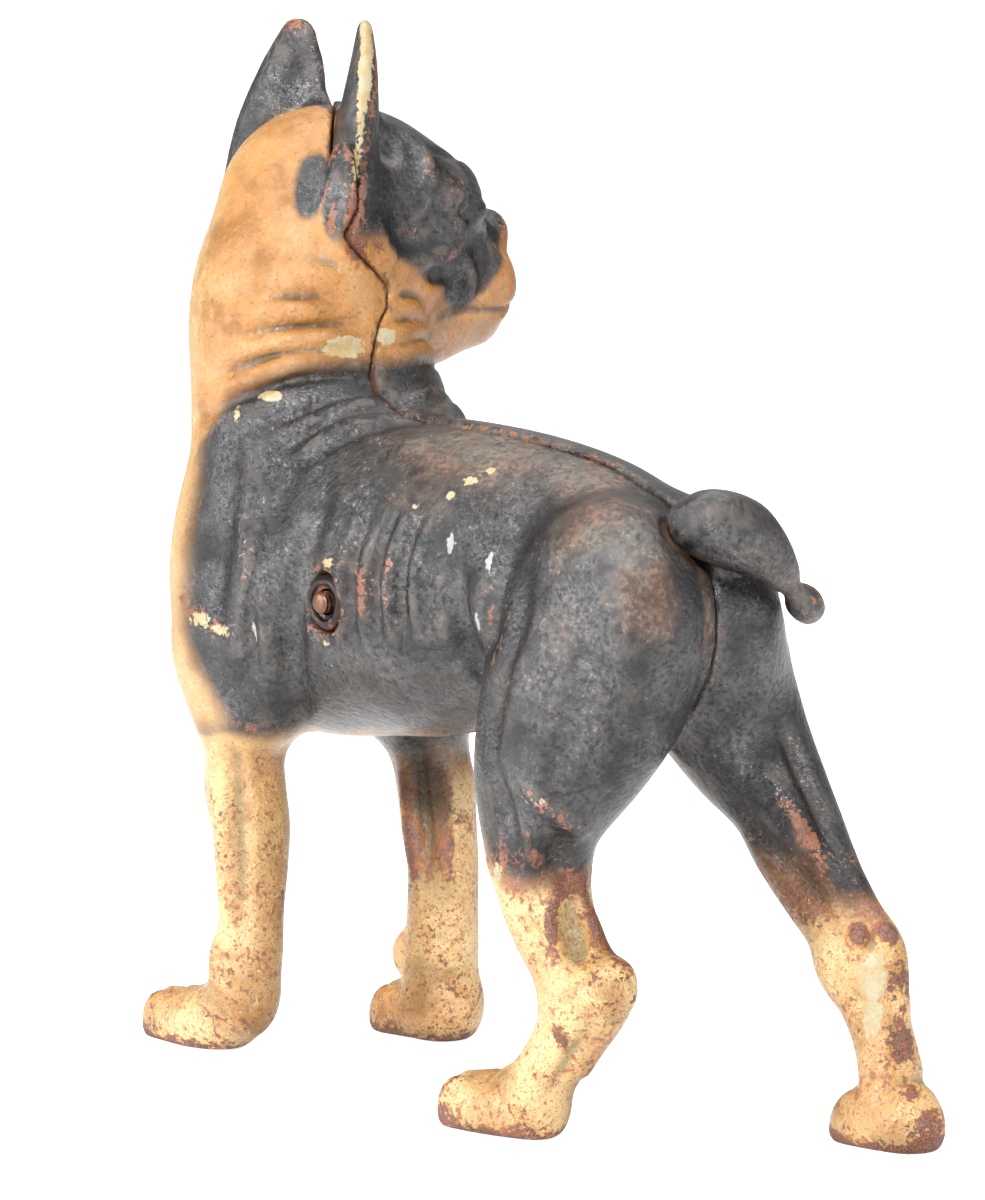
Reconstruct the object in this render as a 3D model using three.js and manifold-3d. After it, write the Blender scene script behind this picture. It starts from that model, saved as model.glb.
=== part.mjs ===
// Cast iron still bank in the shape of a standing bull terrier type dog looking back over its right shoulder.
// Two hollow half shells meet at a parting surface along the spine and are drawn together by one through screw
// and a round nut. Millimetres, +X forward, +Y to the dog's left, +Z up, standing on z = 0.

import * as THREE from 'three';
import { mergeVertices } from 'three/addons/utils/BufferGeometryUtils.js';
import Module from 'manifold-3d';

const wasm = await Module();
wasm.setup();

// Driving dimensions.
const WALL = 3.0; // casting thickness round the money chamber
const SEAM_GAP = 0.4; // space between the two half shells
const FIT_GAP = 0.3; // running clearance round the screw and the nut
const SKIN_STEP = 3.4; // spacing of the outer skin's vertices
const CHAMBER_STEP = 4.6; // spacing of the chamber wall's vertices
const CURVE_STEPS = 3; // extra stations between two given points of a limb
const FINISH = 0.04; // flats and slivers closer than this are merged

// Through screw, along Y.
const SCREW_X = 38;
const SCREW_Z = 61;
const SHANK_RADIUS = 1.4;
const HEAD_RADIUS = 3.3;
const HEAD_HEIGHT = 2.4;
const SLOT_WIDTH = 0.9;
const SLOT_DEPTH = 1.1;
const NUT_RADIUS = 3.4;
const NUT_THICKNESS = 2.6;
const NUB_PROUD = 0.7; // screw end beyond the nut's face
const BORE_RADIUS = SHANK_RADIUS + 0.5;
const RECESS_RADIUS = 3.9; // counterbore in each flank
const RECESS_FLOOR = 14.2; // distance of its floor from the mid plane
const RECESS_REACH = 30; // tool length, past the flank
const POST_RADIUS = 5.6; // inner post round the bore
const POST_END = RECESS_FLOOR + 1.2;
const ROUND_SIDES = 20;

// Coin slot on the belly seam.
const COIN_SLOT_LENGTH = 28;
const COIN_SLOT_WIDTH = 3.2;
const COIN_SLOT_X = 26;
const COIN_SLOT_LOW = 36;
const COIN_SLOT_HIGH = 50;

// Clearance between the tail, which belongs to the right shell, and the left rump under it.
const TAIL_CLEARANCE = 0.9;

// The clay block that the skin is found in.
const BLOCK_LOW = [-48, -46, -9];
const BLOCK_HIGH = [90, 36, 134];
const OUTSIDE = 40;

// The head has its own frame: forward along the nose, left and up.
const HEAD_CENTRE = [64, -10, 106];
const HEAD_YAW = -103; // degrees from the body's forward axis
const HEAD_PITCH = -14;

// ---------------------------------------------------------------- vectors

const plus = (a, b) => [a[0] + b[0], a[1] + b[1], a[2] + b[2]];
const minus = (a, b) => [a[0] - b[0], a[1] - b[1], a[2] - b[2]];
const times = (a, s) => [a[0] * s, a[1] * s, a[2] * s];
const dot = (a, b) => a[0] * b[0] + a[1] * b[1] + a[2] * b[2];
const cross = (a, b) => [a[1] * b[2] - a[2] * b[1], a[2] * b[0] - a[0] * b[2], a[0] * b[1] - a[1] * b[0]];
const size = (a) => Math.hypot(a[0], a[1], a[2]);
const unit = (a) => times(a, 1 / size(a));

// Forward, left and up axes of a frame turned by yaw about Z and then nose up by pitch.
function turned(yaw, pitch) {
  const y = THREE.MathUtils.degToRad(yaw);
  const p = THREE.MathUtils.degToRad(pitch);
  const forward = [Math.cos(y) * Math.cos(p), Math.sin(y) * Math.cos(p), Math.sin(p)];
  const left = [-Math.sin(y), Math.cos(y), 0];
  return [forward, left, cross(forward, left)];
}

const UPRIGHT = turned(0, 0);
const HEAD_AXES = turned(HEAD_YAW, 0);
const SKULL_AXES = turned(HEAD_YAW, HEAD_PITCH);
const THIGH_AXES = turned(0, 15);

// A point given in the head's frame, with an optional radius behind it.
function head(forward, left, up, ...radius) {
  const offset = plus(times(HEAD_AXES[0], forward), plus(times(HEAD_AXES[1], left), times(HEAD_AXES[2], up)));
  return [...plus(HEAD_CENTRE, offset), ...radius];
}

// ---------------------------------------------------------------- clay: signed distances

// Stations on a smooth curve through the given points; each point is x, y, z and a radius.
function smoothLine(points) {
  if (points.length < 3) return points;
  const first = points[0].map((v, i) => 2 * v - points[1][i]);
  const last = points.at(-1).map((v, i) => 2 * v - points.at(-2)[i]);
  const row = [first, ...points, last];
  const line = [];
  for (let i = 1; i < row.length - 2; i++) {
    for (let j = 0; j < CURVE_STEPS; j++) {
      const t = j / CURVE_STEPS;
      const blend = (a, b, c, d) =>
        0.5 * (2 * b + (c - a) * t + (2 * a - 5 * b + 4 * c - d) * t * t + (3 * b - a - 3 * c + d) * t * t * t);
      line.push(row[i].map((_, n) => blend(row[i - 1][n], row[i][n], row[i + 1][n], row[i + 2][n])));
    }
  }
  line.push(points.at(-1));
  return line;
}

// A tapering limb of round sections. `soft` is how far it melts into what is already there.
function limb(soft, ...points) {
  const line = smoothLine(points);
  const distance = (p) => {
    let best = OUTSIDE;
    for (let i = 1; i < line.length; i++) {
      const a = line[i - 1];
      const b = line[i];
      const along = minus(b, a);
      const offset = minus(p, a);
      const t = THREE.MathUtils.clamp(dot(offset, along) / dot(along, along), 0, 1);
      const radius = a[3] + (b[3] - a[3]) * t;
      best = Math.min(best, size(minus(offset, times(along, t))) - radius);
    }
    return best;
  };
  return { soft, distance };
}

// An ellipsoid with its radii along the given axes.
function blob(soft, centre, radii, axes = UPRIGHT) {
  const distance = (p) => {
    const offset = minus(p, centre);
    const inside = axes.map((axis, i) => dot(offset, axis) / radii[i]);
    const near = size(inside);
    const slope = size(inside.map((v, i) => v / radii[i]));
    return slope > 0 ? (near * (near - 1)) / slope : -Math.min(...radii);
  };
  return { soft, distance };
}

// The distance to a heap of pieces, each melted into the ones before it.
function heap(pieces) {
  return (p) => {
    let total = OUTSIDE;
    for (const piece of pieces) {
      const d = piece.distance(p);
      const h = Math.max(piece.soft - Math.abs(total - d), 0) / piece.soft;
      total = Math.min(total, d) - h * h * piece.soft * 0.25;
    }
    return total;
  };
}

const trunk = [
  blob(1, [37, 0, 62.5], [25, 17.5, 19.5]), // rib cage
  blob(9, [55.5, 0, 62], [18.3, 16.2, 20.2]), // shoulders
  blob(6, [65.5, 0, 58], [10.6, 11.5, 12.5]), // forechest
  blob(10, [14, 0, 65], [20, 14, 14.5]), // loin
  limb(7, [0, 0, 64.8, 10.2], [20, 0, 68.2, 10.9], [40, 0, 68.5, 11.5]), // back
  blob(5, [-4, 7, 61.5], [11.7, 9, 14]), // left rump
  blob(5, [-4, -6.5, 60], [11.3, 8.5, 13.2]), // right rump
];

const neck = [
  limb(6, [44, 0, 70.5, 10], [58, 0, 76, 13.5]), // withers
  limb(6, [48, -4, 73, 10], [58, -5, 84, 12]), // turned side
  limb(6, [60.5, 0, 72, 14.2], [62, 0.5, 86, 13.8], [62.5, 0, 97, 13.8], [63.5, -4, 107, 12.5]), // column
];

const skull = [
  blob(5, head(0, 0, 3), [15.5, 12.8, 12.8], SKULL_AXES), // brain case
  limb(4, head(9, 6, 3, 6), head(9, -6, 3, 6)), // brow
  blob(5, head(2, 8, -4), [8, 6, 8], HEAD_AXES), // left cheek
  blob(5, head(2, -8, -4), [8, 6, 8], HEAD_AXES), // right cheek
  blob(4, head(15, 0, -5), [9, 8.2, 8], HEAD_AXES), // muzzle
  limb(4, head(0, 0, -11, 8), head(10, 0, -12, 6.5), head(16.5, 0, -10, 5.8)), // lower jaw
  blob(2, head(22.2, 0, -0.4), [2.2, 3.2, 2.2], HEAD_AXES), // nose
];

const leftForeleg = [
  blob(6, [61, 11, 60], [11, 7, 17]),
  limb(
    5, [61.5, 11, 52, 7.5], [61.3, 10.5, 40.2, 5.3], [61.7, 10, 34.9, 5.3], [60.6, 10, 29.8, 5.1],
    [60.4, 10, 24.6, 4.7], [60.6, 10, 19.3, 4.3], [61, 10, 14, 4.4], [61.8, 10, 9.5, 4.6],
  ),
  limb(2.5, [62.5, 10, 6, 4.4], [69, 10, 3, 5], [76.8, 9.5, 1.6, 4.5]),
];

const rightForeleg = [
  blob(6, [57, -11, 58], [11, 7, 17]),
  limb(
    5, [55, -13, 50, 7], [54.2, -15, 38.5, 5.3], [52.8, -15, 33.3, 5.2], [52.2, -15, 28.1, 5],
    [51.4, -15, 22.8, 4.7], [51.5, -15, 17.5, 4.7], [51.7, -15, 12.1, 4.9], [52, -15, 7, 4.9],
  ),
  limb(2.5, [51.5, -15, 4, 5.4], [55.5, -15, 3, 5], [59, -15, 1.8, 4.8]),
];

const leftHindleg = [
  blob(5, [-3.2, 10, 56.5], [12, 8.6, 18], THIGH_AXES),
  limb(
    4, [-2.2, 11, 52, 10.6], [-0.2, 13.5, 43, 8.4], [0.5, 14.6, 37, 6.5], [0.4, 15, 31, 5.8],
    [-1.4, 15, 26, 5.2], [-5, 15, 21, 4.9], [-7, 15, 18, 4.9],
  ),
  limb(2.5, [-7, 15, 18, 4.9], [-4.9, 15.3, 13.8, 4.2], [-2.2, 15.6, 9.5, 3.9], [1, 16, 5.5, 3.9]),
  limb(2.5, [0.8, 16, 3.2, 4.2], [5.5, 16.2, 2.8, 4.8], [10.6, 16.5, 1.6, 4.6]),
];

const rightHindleg = [
  limb(
    4, [-2, -9.5, 55, 10.2], [-6.2, -11.8, 46, 8.2], [-11.8, -12.3, 39.5, 6.4], [-15.6, -12.3, 34, 5.9],
    [-19.1, -12.3, 29.3, 5.2], [-22.9, -12.2, 25, 4.7], [-25.6, -12, 21, 4.5],
  ),
  limb(2.5, [-25.2, -12, 21, 4.5], [-27.8, -12, 16.5, 3.9], [-30, -12, 11.4, 3.7], [-31.8, -12, 4.5, 4.3]),
  limb(2.5, [-33.6, -12, 2.4, 4.4], [-31, -12, 2.4, 4.8], [-27.4, -12, 1.6, 4.8]),
];

const chamberHeap = heap([...trunk, ...neck, ...skull]);
const bodyHeap = heap([
  ...trunk, ...neck, ...leftForeleg, ...rightForeleg, ...leftHindleg, ...rightHindleg, ...skull,
]);

// ---------------------------------------------------------------- skin: the surface where a distance is zero

const CORNERS = [[0, 0, 0], [1, 0, 0], [0, 1, 0], [1, 1, 0], [0, 0, 1], [1, 0, 1], [0, 1, 1], [1, 1, 1]];
const CELL_EDGES = [[0, 1], [2, 3], [4, 5], [6, 7], [0, 2], [1, 3], [4, 6], [5, 7], [0, 4], [1, 5], [2, 6], [3, 7]];

// One vertex in each grid cell that the surface passes through, joined across each grid edge that it crosses.
function skin(distance, step) {
  const count = BLOCK_LOW.map((low, i) => Math.ceil((BLOCK_HIGH[i] - low) / step) + 1);
  const at = (i, j, k) => (i * count[1] + j) * count[2] + k;
  const place = (i, j, k) => [BLOCK_LOW[0] + i * step, BLOCK_LOW[1] + j * step, BLOCK_LOW[2] + k * step];
  const value = new Float64Array(count[0] * count[1] * count[2]);
  const eachCell = (visit) => {
    for (let i = 0; i < count[0] - 1; i++) {
      for (let j = 0; j < count[1] - 1; j++) {
        for (let k = 0; k < count[2] - 1; k++) visit(i, j, k);
      }
    }
  };
  for (let i = 0; i < count[0]; i++) {
    for (let j = 0; j < count[1]; j++) {
      for (let k = 0; k < count[2]; k++) value[at(i, j, k)] = distance(place(i, j, k));
    }
  }

  // A cell face whose opposite corners are inside and the others outside would pinch the skin to an edge that four
  // faces share, so its faintest corner changes side.
  const nudge = step / 1000;
  for (const [p, q] of [[1, 2], [1, 4], [2, 4]]) {
    eachCell((i, j, k) => {
      const ring = [0, p, p + q, q].map((n) => at(i + CORNERS[n][0], j + CORNERS[n][1], k + CORNERS[n][2]));
      const inside = ring.map((n) => value[n] < 0);
      if (inside[0] !== inside[2] || inside[1] !== inside[3] || inside[0] === inside[1]) return;
      const faintest = ring.reduce((a, b) => (Math.abs(value[a]) < Math.abs(value[b]) ? a : b));
      value[faintest] = value[faintest] < 0 ? nudge : -nudge;
    });
  }

  const positions = [];
  const vertexOf = new Map();
  eachCell((i, j, k) => {
    const corner = CORNERS.map((c) => value[at(i + c[0], j + c[1], k + c[2])]);
    let sum = [0, 0, 0];
    let crossings = 0;
    for (const [a, b] of CELL_EDGES) {
      if (corner[a] < 0 === corner[b] < 0) continue;
      const t = corner[a] / (corner[a] - corner[b]);
      sum = plus(sum, plus(CORNERS[a], times(minus(CORNERS[b], CORNERS[a]), t)));
      crossings += 1;
    }
    if (crossings === 0) return;
    vertexOf.set(at(i, j, k), positions.length / 3);
    positions.push(...plus(place(i, j, k), times(sum, step / crossings)));
  });

  // Each quad is cut along its shorter diagonal.
  const triangles = [];
  const point = (n) => positions.slice(3 * n, 3 * n + 3);
  const quad = (a, b, c, d, flip) => {
    const ring = flip ? [a, d, c, b] : [a, b, c, d];
    let [p, q, r, s] = ring.map((key) => vertexOf.get(key));
    if (size(minus(point(p), point(r))) > size(minus(point(q), point(s)))) [p, q, r, s] = [q, r, s, p];
    triangles.push(p, q, r, p, r, s);
  };
  eachCell((i, j, k) => {
    const here = value[at(i, j, k)] < 0;
    if (j > 0 && k > 0 && here !== value[at(i + 1, j, k)] < 0) {
      quad(at(i, j - 1, k - 1), at(i, j, k - 1), at(i, j, k), at(i, j - 1, k), !here);
    }
    if (i > 0 && k > 0 && here !== value[at(i, j + 1, k)] < 0) {
      quad(at(i - 1, j, k - 1), at(i - 1, j, k), at(i, j, k), at(i, j, k - 1), !here);
    }
    if (i > 0 && j > 0 && here !== value[at(i, j, k + 1)] < 0) {
      quad(at(i - 1, j - 1, k), at(i, j - 1, k), at(i, j, k), at(i - 1, j, k), !here);
    }
  });

  const geometry = new THREE.BufferGeometry();
  geometry.setAttribute('position', new THREE.Float32BufferAttribute(positions, 3));
  geometry.setIndex(triangles);
  return geometry;
}

// ---------------------------------------------------------------- loft: ears and tail

// A closed horn of elliptical rings. `wide` is the direction of the long radius and `thin` scales the short one.
function loft(points, wide, thin, sides) {
  const line = smoothLine(points);
  const positions = [];
  const triangles = [];
  line.forEach((station, i) => {
    const before = line[Math.max(i - 1, 0)];
    const after = line[Math.min(i + 1, line.length - 1)];
    const along = unit(minus(after, before));
    const broad = unit(minus(wide, times(along, dot(wide, along))));
    const narrow = cross(along, broad);
    for (let n = 0; n < sides; n++) {
      const angle = (2 * Math.PI * n) / sides;
      const out = times(broad, Math.cos(angle) * station[3]);
      const side = times(narrow, Math.sin(angle) * station[3] * thin);
      positions.push(...plus(station.slice(0, 3), plus(out, side)));
    }
  });
  for (let i = 1; i < line.length; i++) {
    for (let n = 0; n < sides; n++) {
      const a = (i - 1) * sides + n;
      const b = (i - 1) * sides + ((n + 1) % sides);
      triangles.push(a, b, b + sides, a, b + sides, a + sides);
    }
  }
  const cap = (ring, point, flip) => {
    const tip = positions.length / 3;
    positions.push(...point);
    for (let n = 0; n < sides; n++) {
      const a = ring * sides + n;
      const b = ring * sides + ((n + 1) % sides);
      triangles.push(...(flip ? [tip, b, a] : [tip, a, b]));
    }
  };
  const start = line[0];
  const end = line.at(-1);
  const blunt = 0.6; // how far each end bulges, in radii
  const startDirection = unit(minus(start, line[1]).slice(0, 3));
  const endDirection = unit(minus(end, line.at(-2)).slice(0, 3));
  cap(0, plus(start.slice(0, 3), times(startDirection, start[3] * blunt)), true);
  cap(line.length - 1, plus(end.slice(0, 3), times(endDirection, end[3] * blunt)), false);

  const geometry = new THREE.BufferGeometry();
  geometry.setAttribute('position', new THREE.Float32BufferAttribute(positions, 3));
  geometry.setIndex(triangles);
  return geometry;
}

// Each ear is broad across its own outward and backward direction.
const EAR_OUT = 0.865;
const EAR_BACK = 0.5;
const EAR_THIN = 0.36;
const EAR_SIDES = 12;
const leftEarWide = minus(times(HEAD_AXES[1], EAR_OUT), times(HEAD_AXES[0], EAR_BACK));
const rightEarWide = minus(times(HEAD_AXES[1], -EAR_OUT), times(HEAD_AXES[0], EAR_BACK));
const leftEar = [head(-7, 9.8, 5, 7.4), head(-6.4, 9, 11, 7.2), head(-5.4, 8, 17, 5.2), head(-4.8, 5.8, 25.4, 1.7)];
const rightEar = [
  head(-4.5, -11, -3, 4.5), head(-5.6, -11.5, 5, 7.4), head(-4.6, -10.6, 13, 6.4), head(-2.7, -8.8, 25, 1.8),
];

// The tail rises from the root as a bulb and tapers across the rump to a ball on its right.
const TAIL_SIDES = 12;
const tailRoot = [[-4, -4.5, 65, 4.6], [-9.5, -3.5, 70, 4.4], [-15, -2.5, 72.4, 3.4]];
const tail = [
  [-13.2, 4.6, 73.9, 2.4], [-14.6, 2.2, 73.6, 3.9], [-16.4, -0.5, 72.6, 3.9], [-17.8, -4, 69.5, 3],
  [-17.4, -7.5, 66, 2.2], [-16.8, -10, 63.9, 1.9], [-16.4, -12.4, 62.5, 1.9],
];
const TAIL_ACROSS = [1, 0, 0];

// ---------------------------------------------------------------- solids

function solid(geometry) {
  const bare = geometry.clone();
  bare.deleteAttribute('normal');
  bare.deleteAttribute('uv');
  const merged = mergeVertices(bare);
  const vertProperties = new Float32Array(merged.attributes.position.array);
  const triVerts = new Uint32Array(merged.index.array);
  return new wasm.Manifold(new wasm.Mesh({ numProp: 3, vertProperties, triVerts }));
}

function toGeometry(body) {
  const { vertProperties, triVerts } = body.simplify(FINISH).getMesh();
  const geometry = new THREE.BufferGeometry();
  geometry.setAttribute('position', new THREE.Float32BufferAttribute(vertProperties, 3));
  geometry.setIndex(new THREE.Uint32BufferAttribute(triVerts, 1));
  return geometry;
}

function box(low, high) {
  const span = minus(high, low);
  const geometry = new THREE.BoxGeometry(...span);
  geometry.translate(...plus(low, times(span, 0.5)));
  return solid(geometry);
}

// A round bar on the screw's line from one Y to another.
function bar(radius, from, to) {
  const geometry = new THREE.CylinderGeometry(radius, radius, to - from, ROUND_SIDES);
  geometry.translate(SCREW_X, (from + to) / 2, SCREW_Z);
  return solid(geometry);
}

// The tail and its root, swollen by `extra` and moved along Y by `shift`.
function tailShape(extra, shift) {
  const horn = (points) => {
    const stations = points.map(([x, y, z, radius]) => [x, y + shift, z, radius + extra]);
    return solid(loft(stations, TAIL_ACROSS, 1, TAIL_SIDES));
  };
  return horn(tailRoot).add(horn(tail));
}

// ---------------------------------------------------------------- parting surface

const PART_ON_NAPE = 4.2; // y of the seam just behind the right ear
const PART_ON_FACE = -10; // y of the seam forward of the crown
const NAPE_X = 54;
const FACE_X = 68;
const HEAD_STARTS = 96;
const HEAD_FULL = 107;

function partingY(x, z) {
  const up = THREE.MathUtils.smoothstep(z, HEAD_STARTS, HEAD_FULL);
  const across = THREE.MathUtils.clamp((x - NAPE_X) / (FACE_X - NAPE_X), 0, 1);
  return up * THREE.MathUtils.lerp(PART_ON_NAPE, PART_ON_FACE, across);
}

// Everything to the right of the parting surface once that is moved along Y by `shift`.
function rightOfParting(shift) {
  const reach = 60;
  const span = minus(BLOCK_HIGH, BLOCK_LOW);
  const columns = 18;
  const rows = 20;
  const geometry = new THREE.BoxGeometry(span[0], reach, span[2], columns, 1, rows);
  const centre = plus(BLOCK_LOW, times(span, 0.5));
  geometry.translate(centre[0], -reach / 2, centre[2]);
  const position = geometry.attributes.position;
  for (let i = 0; i < position.count; i++) {
    if (position.getY(i) < -reach / 2) continue;
    position.setY(i, partingY(position.getX(i), position.getZ(i)) + shift);
  }
  return solid(geometry);
}

// ---------------------------------------------------------------- the two half shells

const ground = box([BLOCK_LOW[0] - 1, BLOCK_LOW[1] - 1, BLOCK_LOW[2] - 9], [BLOCK_HIGH[0] + 1, BLOCK_HIGH[1] + 1, 0]);
const chamber = solid(skin((p) => chamberHeap(p) + WALL, CHAMBER_STEP));
const coinSlot = box(
  [COIN_SLOT_X - COIN_SLOT_LENGTH / 2, -COIN_SLOT_WIDTH / 2, COIN_SLOT_LOW],
  [COIN_SLOT_X + COIN_SLOT_LENGTH / 2, COIN_SLOT_WIDTH / 2, COIN_SLOT_HIGH],
);
const leftEarSolid = solid(loft(leftEar, leftEarWide, EAR_THIN, EAR_SIDES));
const rightEarSolid = solid(loft(rightEar, rightEarWide, EAR_THIN, EAR_SIDES));
const tailSolid = tailShape(0, 0);

const casting = solid(skin(bodyHeap, SKIN_STEP)).subtract(ground).add(leftEarSolid).add(rightEarSolid);

// One half: its side of the casting, hollowed, with its screw post, recess and half of the coin slot.
function halfShell(side) {
  const split = side > 0
    ? casting.subtract(rightOfParting(SEAM_GAP / 2))
    : casting.intersect(rightOfParting(-SEAM_GAP / 2));
  const half = split.subtract(chamber);
  const post = side > 0 ? bar(POST_RADIUS, SEAM_GAP / 2, POST_END) : bar(POST_RADIUS, -POST_END, -SEAM_GAP / 2);
  const bore = bar(BORE_RADIUS, -RECESS_REACH, RECESS_REACH);
  const recess = side > 0
    ? bar(RECESS_RADIUS, RECESS_FLOOR, RECESS_REACH)
    : bar(RECESS_RADIUS, -RECESS_REACH, -RECESS_FLOOR);
  return half.add(post).subtract(bore).subtract(recess).subtract(coinSlot);
}

// The tail lies over the seam, so the left rump is relieved wherever the tail would sweep as the shells part.
function tailRelief() {
  const step = 2;
  const sweep = 8;
  let relief = tailShape(TAIL_CLEARANCE, 0);
  for (let shift = step; shift <= sweep; shift += step) relief = relief.add(tailShape(TAIL_CLEARANCE, -shift));
  return relief;
}

// ---------------------------------------------------------------- screw and nut

// A lathe profile about Y, moved to the screw's line; points are radius and y.
function turnedPart(profile) {
  const points = profile.map(([radius, y]) => new THREE.Vector2(radius, y));
  const geometry = new THREE.LatheGeometry(points, ROUND_SIDES);
  geometry.translate(SCREW_X, 0, SCREW_Z);
  return solid(geometry);
}

function clampScrew() {
  const seat = -(RECESS_FLOOR + FIT_GAP);
  const crown = seat - HEAD_HEIGHT;
  const end = RECESS_FLOOR + FIT_GAP + NUT_THICKNESS + NUB_PROUD;
  const shoulder = HEAD_RADIUS * 0.75; // where the domed head starts to turn over
  const chamfer = 0.4;
  const body = turnedPart([
    [0, crown], [shoulder * 0.55, crown + 0.15], [shoulder, crown + 0.6], [HEAD_RADIUS, seat - 0.6],
    [HEAD_RADIUS, seat], [SHANK_RADIUS, seat], [SHANK_RADIUS, end - chamfer], [SHANK_RADIUS - chamfer, end],
    [0, end],
  ]);
  const slot = box(
    [SCREW_X - HEAD_RADIUS - 1, crown - 1, SCREW_Z - SLOT_WIDTH / 2],
    [SCREW_X + HEAD_RADIUS + 1, crown + SLOT_DEPTH, SCREW_Z + SLOT_WIDTH / 2],
  );
  return body.subtract(slot);
}

function roundNut() {
  const inner = SHANK_RADIUS + FIT_GAP;
  const seat = RECESS_FLOOR + FIT_GAP;
  const face = seat + NUT_THICKNESS;
  const rim = NUT_RADIUS - 0.7;
  const dish = 0.5; // depth of the hollow round the thread
  return turnedPart([
    [inner, seat], [NUT_RADIUS, seat], [NUT_RADIUS, face - 0.5], [rim, face], [inner + 0.4, face - dish],
    [inner, face - dish], [inner, seat],
  ]);
}

// ---------------------------------------------------------------- assembly

const blackPaint = new THREE.MeshStandardMaterial({ color: 0x2f2f32, roughness: 0.4, metalness: 0.1 });
const tanPaint = new THREE.MeshStandardMaterial({ color: 0x7a5433, roughness: 0.45, metalness: 0.1 });
const plainSteel = new THREE.MeshStandardMaterial({ color: 0x6f6a66, roughness: 0.4, metalness: 0.9 });
const rustySteel = new THREE.MeshStandardMaterial({ color: 0x6b4a3a, roughness: 0.6, metalness: 0.6 });

const bank = new THREE.Group();

function addPart(name, body, material) {
  const mesh = new THREE.Mesh(toGeometry(body), material);
  mesh.name = name;
  bank.add(mesh);
}

addPart('right_half', halfShell(-1).add(tailSolid), tanPaint);
addPart('left_half', halfShell(1).subtract(tailRelief()), blackPaint);
addPart('clamp_screw', clampScrew(), plainSteel);
addPart('round_nut', roundNut(), rustySteel);

// The origin is under the middle of the whole bank, on the surface it stands on.
const bounds = new THREE.Box3().setFromObject(bank);
const middle = bounds.getCenter(new THREE.Vector3());
bank.position.set(-middle.x, -middle.y, -bounds.min.z);

export default bank;
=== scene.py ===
import math

import bmesh
import bpy
import numpy as np
from mathutils import Matrix, Vector


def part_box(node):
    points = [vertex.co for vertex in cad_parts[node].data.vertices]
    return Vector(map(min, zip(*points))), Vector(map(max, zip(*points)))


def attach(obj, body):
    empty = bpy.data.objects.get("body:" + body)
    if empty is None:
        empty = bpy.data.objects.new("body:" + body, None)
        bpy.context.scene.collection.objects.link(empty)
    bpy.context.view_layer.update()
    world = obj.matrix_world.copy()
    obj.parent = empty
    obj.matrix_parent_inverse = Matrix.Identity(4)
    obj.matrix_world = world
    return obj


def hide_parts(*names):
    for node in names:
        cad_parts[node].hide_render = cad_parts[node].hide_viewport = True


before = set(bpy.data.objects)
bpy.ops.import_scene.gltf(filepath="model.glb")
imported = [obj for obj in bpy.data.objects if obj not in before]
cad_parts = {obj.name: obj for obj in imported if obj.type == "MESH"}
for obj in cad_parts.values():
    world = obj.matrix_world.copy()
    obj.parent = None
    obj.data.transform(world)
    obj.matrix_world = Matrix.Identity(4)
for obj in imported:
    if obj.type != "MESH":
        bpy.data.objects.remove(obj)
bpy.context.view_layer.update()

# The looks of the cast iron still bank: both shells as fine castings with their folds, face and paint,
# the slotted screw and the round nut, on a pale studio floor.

MM = 0.001

# ---------------------------------------------------------------- design frame
# The dog is modelled in millimetres in its own design frame, with the mid plane at y = 0.
# The screw says where that frame lies in the row frame.

SCREW_X = 38.0
SCREW_Z = 61.0
SHANK_RADIUS = 1.4
HEAD_RADIUS = 3.3
HEAD_HEIGHT = 2.4
NUT_RADIUS = 3.4
NUT_THICKNESS = 2.6
NUB_PROUD = 0.7
RECESS_RADIUS = 3.9
RECESS_FLOOR = 14.2
FIT_GAP = 0.3
POST_RADIUS = 5.6
WALL = 3.0
SEAM_GAP = 0.4
BACK_STEP = 0.45
TAIL_CLEARANCE = 0.9
COIN_SLOT_LENGTH = 28.0
COIN_SLOT_WIDTH = 3.2
COIN_SLOT_X = 26.0
COIN_SLOT_TOP = 50.0
SHANK_CLEARANCE = 0.5
POST_FLOOR = 1.2

screw_low, screw_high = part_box("clamp_screw")
CROWN_Y = -(RECESS_FLOOR + FIT_GAP + HEAD_HEIGHT)
SHIFT = np.array([
    (screw_low.x + screw_high.x) / 2 / MM - SCREW_X,
    screw_low.y / MM - CROWN_Y,
    (screw_low.z + screw_high.z) / 2 / MM - SCREW_Z,
])

STEP = 0.55
BLOCK_LOW = (-41.0, -38.0, -2.0)
BLOCK_HIGH = (85.0, 24.0, 135.0)
OUTSIDE = 12.0

# ---------------------------------------------------------------- vectors


def unit(v):
    v = np.asarray(v, float)
    return v / np.linalg.norm(v)


def turned(yaw, pitch=0.0):
    """Forward, left and up axes of a frame turned by yaw about Z and then nose up by pitch."""
    y, p = math.radians(yaw), math.radians(pitch)
    forward = np.array([math.cos(y) * math.cos(p), math.sin(y) * math.cos(p), math.sin(p)])
    left = np.array([-math.sin(y), math.cos(y), 0.0])
    return np.array([forward, left, np.cross(forward, left)])


HEAD_CENTRE = np.array([64.0, -10.0, 106.0])
HEAD_YAW = -103.0
HEAD_AXES = turned(HEAD_YAW)
SKULL_AXES = turned(HEAD_YAW, -14.0)
THIGH_AXES = turned(0.0, 15.0)


def head(forward, left, up, *radius):
    """A point given in the head's frame, with an optional radius behind it."""
    point = HEAD_CENTRE + HEAD_AXES[0] * forward + HEAD_AXES[1] * left + HEAD_AXES[2] * up
    return (*point, *radius)


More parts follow.
